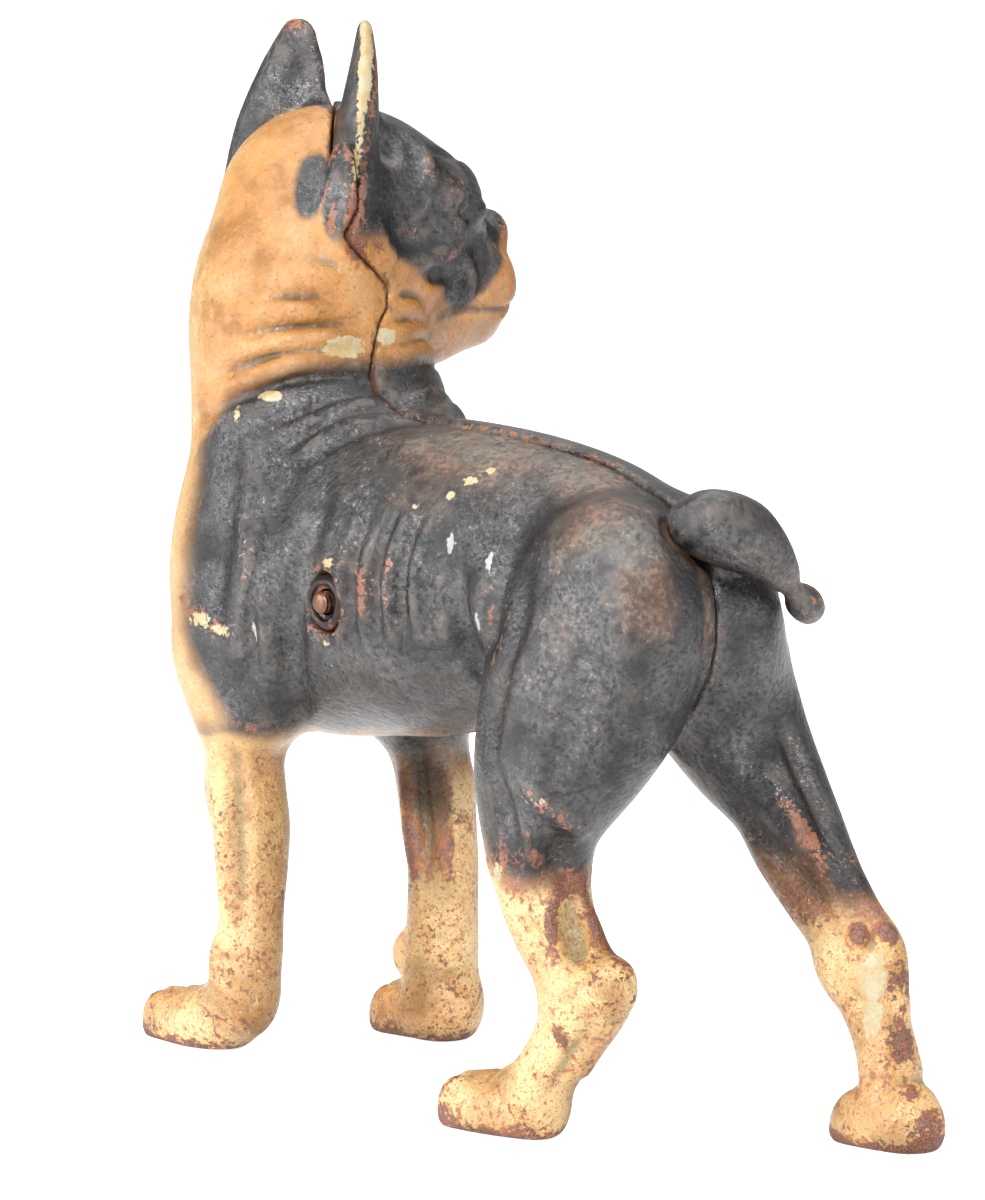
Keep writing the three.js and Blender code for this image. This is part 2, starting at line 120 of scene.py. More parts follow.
def smooth_line(points, steps=6):
    """Stations on a Catmull-Rom curve through the points, whose rows may carry a radius."""
    points = np.array(points, float)
    if len(points) < 3:
        return points
    row = np.concatenate([[2 * points[0] - points[1]], points, [2 * points[-1] - points[-2]]])
    line = []
    for a, b, c, d in zip(row[:-3], row[1:-2], row[2:-1], row[3:]):
        for t in np.arange(steps) / steps:
            line.append(0.5 * (2 * b + (c - a) * t + (2 * a - 5 * b + 4 * c - d) * t**2
                               + (3 * b - a - 3 * c + d) * t**3))
    line.append(points[-1])
    return np.array(line)


def mirrored(points):
    """The same points on the other side of the body's mid plane."""
    return [(p[0], -p[1], *p[2:]) for p in points]


# ---------------------------------------------------------------- clay: a signed distance on a grid


class Clay:
    """Signed distances in millimetres, negative inside, that shapes are melted into and cut from."""

    def __init__(self, step):
        self.low = np.array(BLOCK_LOW)
        self.step = step
        self.count = np.ceil((np.array(BLOCK_HIGH) - self.low) / step).astype(int) + 1
        self.axes = [(self.low[i] + step * np.arange(self.count[i])).astype(np.float32) for i in range(3)]
        self.field = np.full(self.count, OUTSIDE, np.float32)

    def copy(self):
        twin = Clay(self.step)
        twin.field = self.field.copy()
        return twin

    def window(self, low, high):
        first = np.clip(np.floor((low - self.low) / self.step).astype(int), 0, self.count)
        last = np.clip(np.ceil((high - self.low) / self.step).astype(int) + 1, 0, self.count)
        part = tuple(slice(a, b) for a, b in zip(first, last))
        return part, np.meshgrid(*[axis[s] for axis, s in zip(self.axes, part)], indexing="ij")

    def melt(self, part, distance, soft):
        here = self.field[part]
        near = np.maximum(soft - np.abs(here - distance), 0) / soft
        self.field[part] = np.minimum(here, distance) - near * near * soft * 0.25

    def carve(self, part, distance, soft):
        here = self.field[part]
        near = np.maximum(soft - np.abs(here + distance), 0) / soft
        self.field[part] = np.maximum(here, -distance) + near * near * soft * 0.25

    def limb(self, soft, *points, flat=None, cut=False, steps=6):
        """A tapering limb through x, y, z and radius. `flat` is a direction and a thickness ratio."""
        line = smooth_line(points, steps)
        reach = line[:, 3:4] + soft + 2.5
        part, (x, y, z) = self.window((line[:, :3] - reach).min(0), (line[:, :3] + reach).max(0))
        if x.size == 0:
            return
        thin = 1.0 if flat is None else flat[1]
        best = np.full(x.shape, OUTSIDE, np.float32)
        for a, b in zip(line[:-1], line[1:]):
            along = b[:3] - a[:3]
            ox, oy, oz = x - a[0], y - a[1], z - a[2]
            t = np.clip((ox * along[0] + oy * along[1] + oz * along[2]) / (along @ along), 0, 1)
            ox, oy, oz = ox - t * along[0], oy - t * along[1], oz - t * along[2]
            if flat is not None:
                n = unit(flat[0])
                squeeze = (ox * n[0] + oy * n[1] + oz * n[2]) * (1 / thin - 1)
                ox, oy, oz = ox + n[0] * squeeze, oy + n[1] * squeeze, oz + n[2] * squeeze
            distance = (np.sqrt(ox * ox + oy * oy + oz * oz) - (a[3] + (b[3] - a[3]) * t)) * thin
            best = np.minimum(best, distance)
        (self.carve if cut else self.melt)(part, best.astype(np.float32), soft)

    def blob(self, soft, centre, radii, axes=np.eye(3), cut=False):
        """An ellipsoid with its radii along the given axes."""
        centre, radii = np.array(centre, float), np.array(radii, float)
        reach = np.sqrt(((axes.T * radii) ** 2).sum(1)) + soft + 2.5
        part, (x, y, z) = self.window(centre - reach, centre + reach)
        if x.size == 0:
            return
        ox, oy, oz = x - centre[0], y - centre[1], z - centre[2]
        near = np.zeros(x.shape, np.float32)
        slope = np.zeros(x.shape, np.float32)
        for axis, radius in zip(axes, radii):
            along = (ox * axis[0] + oy * axis[1] + oz * axis[2]) / radius
            near += along**2
            slope += (along / radius) ** 2
        near, slope = np.sqrt(near), np.maximum(np.sqrt(slope), 1e-6)
        (self.carve if cut else self.melt)(part, (near * (near - 1) / slope).astype(np.float32), soft)

    def sample(self, points, field=None):
        """The field at any points, by trilinear blending."""
        field = self.field if field is None else field
        place = (np.asarray(points) - self.low) / self.step
        base = np.clip(np.floor(place).astype(int), 0, self.count - 2)
        f = np.clip(place - base, 0, 1)
        total = 0
        for dx in (0, 1):
            for dy in (0, 1):
                for dz in (0, 1):
                    ends = enumerate((dx, dy, dz))
                    share = np.prod([f[:, i] if d else 1 - f[:, i] for i, d in ends], axis=0)
                    total = total + share * field[base[:, 0] + dx, base[:, 1] + dy, base[:, 2] + dz]
        return total

    def slope(self, points, reach=0.7):
        """The field's outward direction at any points."""
        columns = []
        for i in range(3):
            offset = np.zeros(3)
            offset[i] = reach
            columns.append(self.sample(points + offset) - self.sample(points - offset))
        n = np.stack(columns, 1)
        return n / np.maximum(np.linalg.norm(n, axis=1, keepdims=True), 1e-6)

    def on_skin(self, points):
        """The given points moved to the nearest skin, and the skin's outward direction there."""
        points = np.array(points, float)
        for _ in range(6):
            points = points - self.slope(points) * self.sample(points)[:, None]
        return points, self.slope(points)

    def groove(self, points, width, depth, soft=0.8):
        """A furrow pressed into the skin along a line near it, fading out at both ends."""
        line, out = self.on_skin(smooth_line(points, 5))
        radius = width / 2
        fade = np.sin(np.linspace(0.12, math.pi - 0.12, len(line)))[:, None]
        track = line + out * (radius * 1.25 - (depth + radius * 0.25) * fade)
        self.limb(soft, *np.hstack([track, np.full((len(track), 1), radius)]), cut=True, steps=1)

    def ridge(self, points, width, height, soft=2.0):
        """A raised line melted onto the skin, fading out at both ends."""
        line, out = self.on_skin(smooth_line(points, 5))
        radius = width / 2
        fade = np.sin(np.linspace(0.12, math.pi - 0.12, len(line)))[:, None]
        track = line + out * ((height + soft * 0.12) * fade - radius)
        self.limb(soft, *np.hstack([track, np.full((len(track), 1), radius)]), steps=1)


# ---------------------------------------------------------------- the dog's masses


def add_trunk(clay):
    clay.blob(1, (37, 0, 62.5), (25, 17.5, 19.5))  # rib cage
    clay.blob(9, (55.5, 0, 62), (18.3, 16.2, 20.2))  # shoulders
    clay.blob(6, (65.5, 0, 58), (10.6, 11.5, 12.5))  # forechest
    clay.blob(10, (14, 0, 65), (20, 14, 14.5))  # loin
    clay.limb(7, (0, 0, 64.8, 10.2), (20, 0, 68.2, 10.9), (40, 0, 68.5, 11.5))  # back
    clay.blob(5, (-4, 7, 61.5), (11.7, 9, 14))  # left rump
    clay.blob(5, (-4, -6.5, 60), (11.3, 8.5, 13.2))  # right rump


def add_neck(clay):
    clay.limb(6, (44, 0, 70.5, 10), (58, 0, 76, 13.5))  # withers
    clay.limb(6, (48, -4, 73, 10), (58, -5, 84, 12))  # turned side
    clay.limb(6, (60.5, 0, 72, 14.2), (62, 0.5, 86, 13.8), (62.5, 0, 97, 13.8), (63.5, -4, 107, 12.5))


def add_skull(clay):
    clay.blob(5, head(0, 0, 3), (15.5, 12.8, 12.8), SKULL_AXES)  # brain case
    clay.limb(4, head(9, 6, 3, 6), head(9, -6, 3, 6))  # brow
    for side in (1, -1):
        clay.blob(5, head(2, 8 * side, -4), (8, 6, 8), HEAD_AXES)  # cheek
    clay.blob(4, head(14.0, 0, -5.5), (8.6, 8.2, 7.8), HEAD_AXES)  # muzzle
    clay.limb(4, head(0, 0, -11, 8), head(10, 0, -12, 6.5), head(15.8, 0, -10, 5.6))  # lower jaw


def add_legs(clay):
    # left fore
    clay.blob(6, (61, 11, 60), (11, 7, 17))
    clay.limb(5, (61.5, 11, 52, 7.5), (61.3, 10.5, 40.2, 5.3), (61.7, 10, 34.9, 5.3), (60.6, 10, 29.8, 5.1),
              (60.4, 10, 24.6, 4.7), (60.6, 10, 19.3, 4.3), (61, 10, 14, 4.4), (61.8, 10, 9.5, 4.6))
    clay.limb(2.5, (62.5, 10, 6, 4.4), (69, 10, 3, 5), (76.8, 9.5, 1.6, 4.5))
    # right fore
    clay.blob(6, (57, -11, 58), (11, 7, 17))
    clay.limb(5, (55, -13, 50, 7), (54.2, -15, 38.5, 5.3), (52.8, -15, 33.3, 5.2), (52.2, -15, 28.1, 5),
              (51.4, -15, 22.8, 4.7), (51.5, -15, 17.5, 4.7), (51.7, -15, 12.1, 4.9), (52, -15, 7, 4.9))
    clay.limb(2.5, (51.5, -15, 4, 5.4), (55.5, -15, 3, 5), (59, -15, 1.8, 4.8))
    # left hind
    clay.blob(5, (-3.2, 10, 56.5), (12, 8.6, 18), THIGH_AXES)
    clay.limb(4, (-2.2, 11, 52, 10.6), (-0.2, 13.5, 43, 8.4), (0.5, 14.6, 37, 6.5), (0.4, 15, 31, 5.8),
              (-1.4, 15, 26, 5.2), (-5, 15, 21, 4.9), (-7, 15, 18, 4.9))
    clay.limb(2.5, (-7, 15, 18, 4.9), (-4.9, 15.3, 13.8, 4.2), (-2.2, 15.6, 9.5, 3.9), (1, 16, 5.5, 3.9))
    clay.limb(2.5, (0.8, 16, 3.2, 4.2), (5.5, 16.2, 2.8, 4.8), (10.6, 16.5, 1.6, 4.6))
    # right hind
    clay.limb(4, (-2, -9.5, 55, 10.2), (-6.2, -11.8, 46, 8.2), (-11.8, -12.3, 39.5, 6.4),
              (-15.6, -12.3, 34, 5.9), (-19.1, -12.3, 29.3, 5.2), (-22.9, -12.2, 25, 4.7),
              (-25.6, -12, 21, 4.5))
    clay.limb(2.5, (-25.2, -12, 21, 4.5), (-27.8, -12, 16.5, 3.9), (-30, -12, 11.4, 3.7),
              (-31.8, -12, 4.5, 4.3))
    clay.limb(2.5, (-33.6, -12, 2.4, 4.4), (-31, -12, 2.4, 4.8), (-27.4, -12, 1.6, 4.8))


def add_ears(clay):
    """Two upright cropped ears, each a leaf across its own outward and backward direction, with a hollow."""
    for side in (1, -1):
        facing = unit(HEAD_AXES[0] * 0.865 + HEAD_AXES[1] * 0.5 * side)
        across = unit(np.cross(facing, HEAD_AXES[2])) * -side
        if side > 0:
            spine = (head(-4.7, 5.3, 24.4, 2.9), head(-5.0, 6.8, 18.5, 5.3), head(-6.0, 9.0, 11.5, 6.5),
                     head(-7, 10.2, 5, 6.6))
            clay.limb(2.5, *spine, flat=(facing, 0.40))
            leaf = (head(-4.7, 5.3, 24.4), head(-5.0, 6.8, 19.5), head(-5.3, 7.6, 15.6))
            back = [np.array(p) - facing * 3.9 - across * 2.7 for p in leaf]
            clay.limb(1.4, *[(*p, r) for p, r in zip(back, (2.1, 3.0, 2.2))], cut=True)
        else:
            spine = (head(-2.4, -9.0, 24.2, 2.7), head(-3.0, -10.0, 18.5, 5.0), head(-4.4, -11.0, 11, 6.8),
                     head(-5.6, -11.5, 4, 7.2), head(-5, -11.5, -1, 5.6))
            clay.limb(2.5, *spine, flat=(facing, 0.44))
            front = [np.array(p[:3]) + facing * 3.6 - across * 0.6 for p in spine[:3]]
            clay.limb(1.4, *[(*p, r) for p, r in zip(front, (1.7, 2.7, 2.6))], cut=True)


TAIL_ROOT = ((-4, -4.5, 65, 4.6), (-9.5, -3.5, 70, 4.4), (-15, -2.5, 72.4, 3.4))
TAIL = (
    (-13.6, 3.9, 73.4, 3.3), (-14.9, 2.2, 73.2, 4.3), (-16.4, -0.4, 72.2, 4.4), (-17.3, -3.2, 70.2, 3.6),
    (-17.6, -6.2, 67.6, 2.4), (-17.2, -8.8, 65.2, 1.3), (-16.6, -11.4, 63.4, 2.15), (-16.2, -12.6, 62.6, 2.1),
)


def tail_shape(step, swell=0.0, shift=0.0):
    """The tail and its root, swollen and moved along Y."""
    clay = Clay(step)
    for piece in (TAIL_ROOT, TAIL):
        clay.limb(1.5, *[(x, y + shift, z, r + swell) for x, y, z, r in piece])
    return clay


# ---------------------------------------------------------------- folds, muscles and face


def add_neck_folds(clay):
    """The folds that the turned head throws up behind it, strongest beside the seam."""
    furrows = (
        (((56, 11, 103), (51.2, 5.9, 102.6), (49.4, 2.4, 101.2)), 1.8, 0.6),
        (((56, 12, 97.2), (51.7, 8.8, 97.9), (49.1, 3.7, 97.2)), 2.0, 0.85),
        (((58, 13.5, 92.6), (50.8, 8, 94.3), (48.6, 1.8, 94.4)), 2.2, 1.1),
        (((63, 14.4, 87.6), (52, 10.2, 91.0), (47.8, 1.8, 90.9)), 2.2, 1.1),
        (((68, 13, 81.0), (58, 13.6, 85.2), (50.6, 9.6, 88.2), (46.8, 2.6, 88.0)), 1.8, 1.2),
        (((56, 14, 80.5), (49.4, 10.9, 83.4), (44.5, 2.7, 85.6)), 1.6, 0.9),
        (((51, 13, 78.0), (45.8, 8.4, 82.2), (41.0, 3.4, 83.8)), 1.8, 0.9),
        (((46, 12, 76.5), (41.8, 8.0, 80.4), (36.5, 3.7, 82.0)), 2.2, 0.6),
    )
    for line, width, depth in furrows:
        both_flanks(clay.groove, line, width, depth, 0.9)
    rolls = (
        ((60, 13.6, 95.2), (53, 9.6, 96.0), (49, 3.4, 95.8)),
        ((61, 14, 90.2), (53, 11, 92.6), (48.4, 3.6, 92.7)),
        ((56, 12.5, 87.0), (51.5, 10.4, 89.6), (47.4, 3.6, 89.5)),
        ((50, 12, 81.8), (45.6, 7, 84.6), (43, 3, 85.0)),
        ((47, 11.6, 79.0), (43.4, 7, 82.2), (39, 3, 83.2)),
    )
    for line in rolls:
        both_flanks(clay.ridge, line, 2.2, 0.7, 1.4)


def both_flanks(lay, line, *sizes):
    """Lays a furrow or ridge on the left flank and its mirror on the right."""
    lay(line, *sizes)
    lay(mirrored(line), *sizes)


def add_flank_relief(clay):
    # ribs, each a raised line with a furrow behind it that deepens towards its foot
    ribs = ((43.6, 71, 62, 0.25), (41.2, 69, 58, 0.2), (34.4, 71, 57, 0.5),
            (30.2, 73, 56.5, 0.6), (26.0, 73, 57.5, 0.7), (21.8, 73, 60, 0.35))
    for x, top, foot, height in ribs:
        middle = (top + foot) / 2
        rib = ((x - 1.4, 15, top), (x - 0.3, 17, middle + 2), (x, 16.5, middle - 3), (x + 0.6, 15, foot))
        both_flanks(clay.ridge, rib, 2.2, height, 1.2)
        furrow = [(px - 2.1, py, pz - 1.5) for px, py, pz in rib]
        both_flanks(clay.groove, furrow, 2.2, height, 1.0)
    # shoulder: the blade's edge, the long muscle down to the elbow, and the hollows beside them
    both_flanks(clay.groove, ((42.6, 13, 77), (41.0, 15.2, 72), (41.8, 17.5, 65), (43.8, 17.4, 58),
                              (47.0, 14.3, 50), (50, 12, 46)),
                4.6, 1.6, 2.2)
    both_flanks(clay.ridge, ((55, 12, 81), (52.4, 15.2, 74.5), (51.0, 17.6, 67), (51.6, 17.9, 60),
                             (53.6, 16.5, 54)),
                4.2, 1.1, 2.4)
    both_flanks(clay.ridge, ((50.2, 16.8, 69), (50.2, 18.1, 63.5), (51.6, 17.9, 57.5)), 1.8, 0.8, 0.8)
    both_flanks(clay.ridge, ((49.6, 16.5, 65), (48.6, 17.2, 58), (49.4, 16, 51), (51.8, 14, 45)),
                3.2, 0.7, 1.8)
    both_flanks(clay.groove, ((50.0, 16.5, 66), (50.2, 17.4, 60), (51.4, 16.4, 52)), 1.6, 0.7, 1.0)
    both_flanks(clay.groove, ((57.6, 15, 68), (57.4, 16.6, 63), (57.8, 16.4, 58.4)), 4.4, 1.2, 2.2)
    both_flanks(clay.groove, ((70, 9, 68), (68.4, 11.5, 61), (65.5, 13.6, 53)), 3.0, 0.8, 1.6)
    # the pocket at the end of the ribs, and the tuck of the belly in front of the thigh
    both_flanks(clay.groove, ((24, 15, 55.5), (19, 15.6, 54.2), (14.6, 14.6, 55.0)), 2.6, 0.7, 1.6)
    both_flanks(clay.groove, ((16.4, 13.5, 69), (15.6, 13.2, 64), (15.8, 12.2, 58), (14.6, 10.8, 51),
                              (12.6, 9.5, 45.5)),
                3.6, 1.5, 1.6)
    clay.groove(((74.5, 0, 72), (75.6, 0, 62), (72, 0, 50)), 2.6, 0.5, 1.5)


def add_rump_relief(clay):
    clay.ridge(((9.4, 15.4, 69), (11.2, 16.0, 61), (10.6, 16.6, 52), (8.6, 17.8, 43)), 3.6, 1.1, 2.0)
    clay.groove(((2.0, 17.6, 68), (1.4, 18.8, 61), (2.2, 19.8, 53), (2.6, 20.6, 46)), 4.0, 0.8, 2.4)
    clay.groove(((-10, 17.5, 55), (-7.6, 19, 48), (-5.6, 19.0, 42)), 3.0, 0.5, 1.6)
    clay.ridge(((-11.2, 14.5, 66), (-12.4, 13.6, 60.5), (-11.4, 13.6, 55)), 4.0, 0.35, 2.4)
    # the flat strip beside the seam down the left buttock
    strip = ((-14.6, 2.3, 67.0), (-15.6, 2.2, 63.5), (-15.4, 2.1, 58.5), (-13.0, 2.0, 53.0),
             (-9.0, 2.0, 49.0), (-4.0, 2.0, 46.6))
    clay.groove([(x, y + 0.5, z) for x, y, z in strip], 5.6, 0.85, 0.2)


def add_leg_relief(clay):
    # left hind: kneecap, calf, the hollow before the heel cord, the point of the hock
    clay.limb(3.0, (4.6, 14.0, 53, 4.4), (5.4, 14.8, 45, 4.5), (5.2, 15.4, 38.5, 3.9), (4.2, 15.6, 33.5, 3.2))
    clay.groove(((1.6, 21.6, 44.5), (0.4, 21.7, 40.5), (-0.8, 21.0, 36.5)), 3.6, 1.5, 1.2)
    clay.ridge(((-2.2, 21.0, 44.4), (-4.2, 20.6, 42.0), (-6.0, 18.9, 40.2), (-6.8, 15.8, 37.4)),
               2.8, 1.4, 1.4)
    clay.ridge(((-3.0, 20.2, 39.4), (-3.4, 19.8, 36.4), (-2.8, 19.6, 32.5)), 2.4, 1.0, 1.2)
    clay.groove(((-5.6, 18.0, 37.0), (-5.4, 17.4, 34.0), (-5.0, 16.6, 31.0)), 2.6, 1.0, 1.2)
    clay.groove(((-5.6, 15.8, 29.6), (-7.4, 17.0, 25.4), (-9.2, 18.6, 21.6)), 5.0, 1.5, 0.9)
    clay.ridge(((-4.0, 17.6, 30.6), (-5.0, 18.8, 26.4), (-6.6, 19.6, 21.6)), 1.8, 0.8, 0.8)
    clay.ridge(((-5.6, 14.2, 31.6), (-8.0, 13.8, 27.0), (-11.2, 14.6, 22.4)), 2.2, 0.8, 1.0)
    clay.blob(2.2, (-11.8, 15.0, 20.2), (2.7, 2.7, 3.0))
    clay.limb(1.6, (-11.6, 14.6, 18.4, 1.9), (-8.8, 15.0, 13.6, 1.7), (-6.4, 15.3, 9.6, 1.4))
    clay.groove(((-11.4, 17.2, 17.4), (-8.2, 18.0, 12.4), (-5.2, 18.2, 8.0), (-3.6, 18.0, 5.0)),
                1.2, 0.6, 0.6)
    clay.blob(1.5, (-7.6, 18.6, 15.4), (1.8, 1.2, 1.6))
    clay.blob(2.0, (-11.4, 17.0, 19.4), (1.4, 1.4, 2.2))
    # right hind
    clay.groove(((-13.6, -10.6, 48.4), (-15.6, -10.8, 45.4), (-19.3, -11.2, 39.3), (-22.2, -10.8, 34.2)),
                2.4, 1.2, 0.9)
    clay.ridge(((-14.2, -7.6, 43.5), (-17.8, -8.1, 38.6), (-21.6, -9.1, 33.3), (-24.8, -9.4, 28.8)),
               2.4, 1.1, 1.2)
    clay.groove(((-11.0, -5.4, 39.5), (-13.8, -6.3, 36.2), (-20.6, -7.6, 30.6), (-26.4, -8.1, 24.8)),
                3.0, 1.2, 1.2)
    clay.limb(2.0, (-20.5, -12.6, 32.5, 2.2), (-25.2, -12.4, 27.4, 2.1), (-29.4, -12.2, 23.2, 2.5),
              (-30.8, -12, 17, 2.0))
    clay.blob(0.7, (-28.0, -9.2, 24.7), (1.6, 1.3, 1.6))
    clay.blob(0.7, (-30.2, -11.4, 25.0), (1.5, 1.4, 1.6))
    clay.groove(((-29.4, -9.4, 26.6), (-29.6, -9.8, 24.6), (-29.6, -9.6, 22.8)), 0.9, 0.5, 0.5)
    clay.groove(((-31.0, -11.2, 20), (-32.0, -11.0, 14), (-33.6, -10.8, 8.5)), 1.4, 0.5, 0.8)
    # fore legs: elbows, the line between bone and tendon, the wrists
    clay.blob(4, (55.6, 12.2, 45.5), (3.6, 3.4, 4.2))
    clay.blob(4, (49.8, -14.0, 44.5), (3.4, 3.4, 4.2))
    clay.groove(((58.0, 14.4, 41), (57.6, 14.4, 31), (58.2, 13.6, 22), (59.0, 13.4, 14)), 2.4, 0.7, 1.2)
    clay.ridge(((60.8, 15.6, 40), (60.4, 15.2, 30), (60.8, 14.6, 20)), 2.6, 0.3, 1.6)
    clay.groove(((51.8, -10.6, 42), (50.6, -10.6, 34), (49.8, -10.8, 26), (50.0, -10.8, 18)), 2.6, 1.1, 1.0)
    clay.ridge(((49.0, -12.4, 40), (48.0, -12.6, 31), (47.6, -12.8, 22)), 2.0, 0.35, 1.4)
    clay.ridge(((53.6, -9.8, 38), (52.8, -10.0, 30), (52.0, -10.2, 22)), 2.0, 0.35, 1.4)
    clay.blob(2.5, (62.0, 12.6, 12.4), (2.4, 2.0, 2.6))
    clay.blob(2.5, (56.0, -13, 11.0), (2.0, 2.2, 2.6))


def add_toes(clay):
    """Low knuckles and three shallow lines over the front of each paw."""
    for x, y, radius in ((77.6, 9.5, 4.6), (60.0, -15, 4.7), (11.6, 16.5, 4.6), (-26.6, -12, 4.6)):
        for across in (-0.62, 0.0, 0.62):
            clay.blob(1.2, (x - 0.8 - abs(across), y + across * radius, 3.4), (3.0, 1.7, 3.0))
        for across in (-0.32, 0.32):
            side = y + across * radius
            clay.groove(((x - 3.5, side, 7.0), (x + 0.8, side, 5.8), (x + 3.2, side, 3.2)), 1.1, 0.5, 0.5)
        clay.groove(((x - 6.5, y - 0.8 * radius, 5.2), (x - 5.5, y, 7.4), (x - 6.5, y + 0.8 * radius, 5.2)),
                    1.8, 0.4, 1.0)


def add_face(clay):
    """Boxer type face: eyes under folded brows, sunken temples, ridged cheekbones, short muzzle."""
    clay.blob(1.6, head(20.2, 0, -1.0), (2.9, 4.0, 3.4), HEAD_AXES)  # nose
    clay.blob(2.0, head(17.6, 0, -13.0), (3.4, 4.4, 2.6), HEAD_AXES)  # chin
    for side in (1, -1):
        def at(forward, left, up, *radius, side=side):
            return head(forward, left * side, up, *radius)

        clay.blob(2.5, at(17.2, 4.4, -7.8), (4.6, 4.2, 4.8), HEAD_AXES)  # lip pad
        clay.blob(3.0, at(9.2, 7.6, 5.6), (4.2, 3.7, 2.8), HEAD_AXES)  # brow
        clay.blob(3.0, at(4.0, 15.6, 1.2), (5.8, 3.3, 4.8), HEAD_AXES, cut=True)  # sunken temple
        clay.ridge([at(3.4, 8.0, 12.8), at(5.3, 10.1, 9.6), at(5.0, 12.2, 6.4), at(4.4, 12.9, 3.6)],
                   2.4, 0.9, 1.4)
        clay.ridge([at(-1.8, 14.8, -3.0), at(3.2, 14.4, -4.0), at(6.6, 13.2, -3.2), at(9.4, 12.0, -1.2),
                    at(10.2, 11.6, 0.8)], 2.2, 1.1, 1.4)  # cheekbone
        clay.groove([at(1.0, 14.8, -6.2), at(5.0, 13.8, -6.4), at(9.0, 11.8, -4.8), at(11.4, 10.6, -2.4)],
                    2.2, 1.1, 1.0)
        clay.blob(1.2, at(12.6, 11.0, 2.4), (2.9, 2.4, 2.6), HEAD_AXES, cut=True)  # eye socket
        clay.blob(0.5, at(12.2, 9.9, 2.4), (2.5, 2.3, 2.2), HEAD_AXES)  # eyeball
        # upper lid
        clay.ridge([at(10.2, 12.0, 3.4), at(12.4, 10.9, 5.0), at(14.8, 8.9, 4.0)], 1.4, 0.55, 0.9)
        # lower lid
        clay.ridge([at(10.2, 12.0, 1.0), at(12.6, 10.8, -0.2), at(15.0, 8.7, 1.0)], 1.4, 0.45, 0.9)
        clay.ridge([at(13.4, 9.6, -0.6), at(15.0, 8.6, 0.4), at(16.6, 7.6, -1.6), at(17.4, 7.0, -3.6)],
                   1.7, 0.95, 1.0)
        # beside the nose
        clay.groove([at(16.8, 8.2, 1.6), at(18.0, 6.8, -0.6), at(19.2, 5.8, -3.6)], 1.8, 0.8, 1.0)
        # lip fold
        clay.ridge([at(11.2, 10.2, -3.4), at(13.2, 8.8, -6.0), at(12.8, 8.0, -9.4)], 2.0, 1.0, 1.2)
        clay.groove([at(14.2, 9.0, -3.4), at(15.6, 8.0, -6.4), at(15.0, 7.6, -9.4)], 1.8, 1.0, 0.9)
        clay.groove([at(22.0, 1.0, -6.0), at(19.8, 5.6, -9.8), at(14.6, 8.6, -11.4), at(8.0, 10.0, -12.4)],
                    1.3, 0.7, 0.7)
        clay.groove([at(7.4, 11.6, 9.6), at(9.4, 11.4, 7.4), at(10.6, 11.2, 5.8)], 1.8, 0.8, 0.9)
        clay.groove([at(8.0, 9.6, 11.4), at(10.6, 8.4, 10.0), at(12.6, 6.6, 9.0)], 1.8, 0.8, 0.9)
        clay.blob(0.5, at(22.6, 1.6, -1.6), (1.2, 0.75, 0.7), HEAD_AXES, cut=True)  # nostril
    clay.groove([head(22.8, 0, -3.4), head(22.4, 0, -6.4), head(21.4, 0, -9.0)], 0.9, 0.5, 0.5)  # lip split
    clay.groove([head(4, 0, 16), head(10, 0, 12), head(14.5, 0, 6.5)], 2.2, 0.5, 1.4)  # forehead furrow
    clay.groove([head(15.5, -4.5, 4.6), head(17.0, 0, 4.0), head(15.5, 4.5, 4.6)], 1.6, 0.6, 0.9)  # stop
    clay.groove([head(17.0, -4.0, 2.6), head(18.2, 0, 2.2), head(17.0, 4.0, 2.6)], 1.2, 0.4, 0.7)


def add_nape_relief(clay):
    """The hollow behind the right ear's root, and the ear's lobe that runs down beside the seam."""
    clay.limb(1.6, (57.6, 6.4, 117.4, 1.4), (56.2, 7.4, 112.6, 2.3), (54.6, 7.4, 108.2, 1.4), cut=True)
    clay.ridge(((53.4, 4.4, 117.5), (52.2, 5.6, 112), (51.0, 4.6, 106), (49.8, 2.0, 102)), 1.8, 0.35, 1.0)
    clay.ridge(((49.6, -2.4, 106.4), (49.3, -4.0, 103.6), (49.0, -3.8, 101.0)), 2.4, 0.7, 1.2)


def model_dog(step):
    """The whole casting but the tail, and its inner core without legs, ears or relief."""
    core = Clay(step)
    add_trunk(core)
    add_neck(core)
    body = core.copy()
    add_skull(core)
    add_legs(body)
    add_skull(body)
    add_neck_folds(body)
    add_flank_relief(body)
    add_rump_relief(body)
    add_leg_relief(body)
    add_toes(body)
    add_face(body)
    add_ears(body)
    add_nape_relief(body)
    return body, core


# ---------------------------------------------------------------- shells

PART_ON_NAPE = 3.0
PART_ON_FACE = -10.0
NAPE_X = 54.0
FACE_X = 68.0
HEAD_STARTS = 98.0
HEAD_FULL = 106.0
CUSP_Z = 98.2
CUSP_DEPTH = 3.8
BACK_SHIFT = 1.8
EAR_SHIFT = 1.4

# How far each kind of edge is eased, in millimetres.
EASE_EDGE = 0.5
EASE_TAIL_GAP = 0.6
EASE_TAIL_JOIN = 1.2
EASE_CORE = 1.0
EASE_POST = 0.8
EASE_BORE = 0.3
EASE_SOLE = 0.7
TAIL_SWEEP = range(0, 10, 2)


def smoothstep(value, low, high):
    t = np.clip((value - low) / (high - low), 0, 1)
    return t * t * (3 - 2 * t)


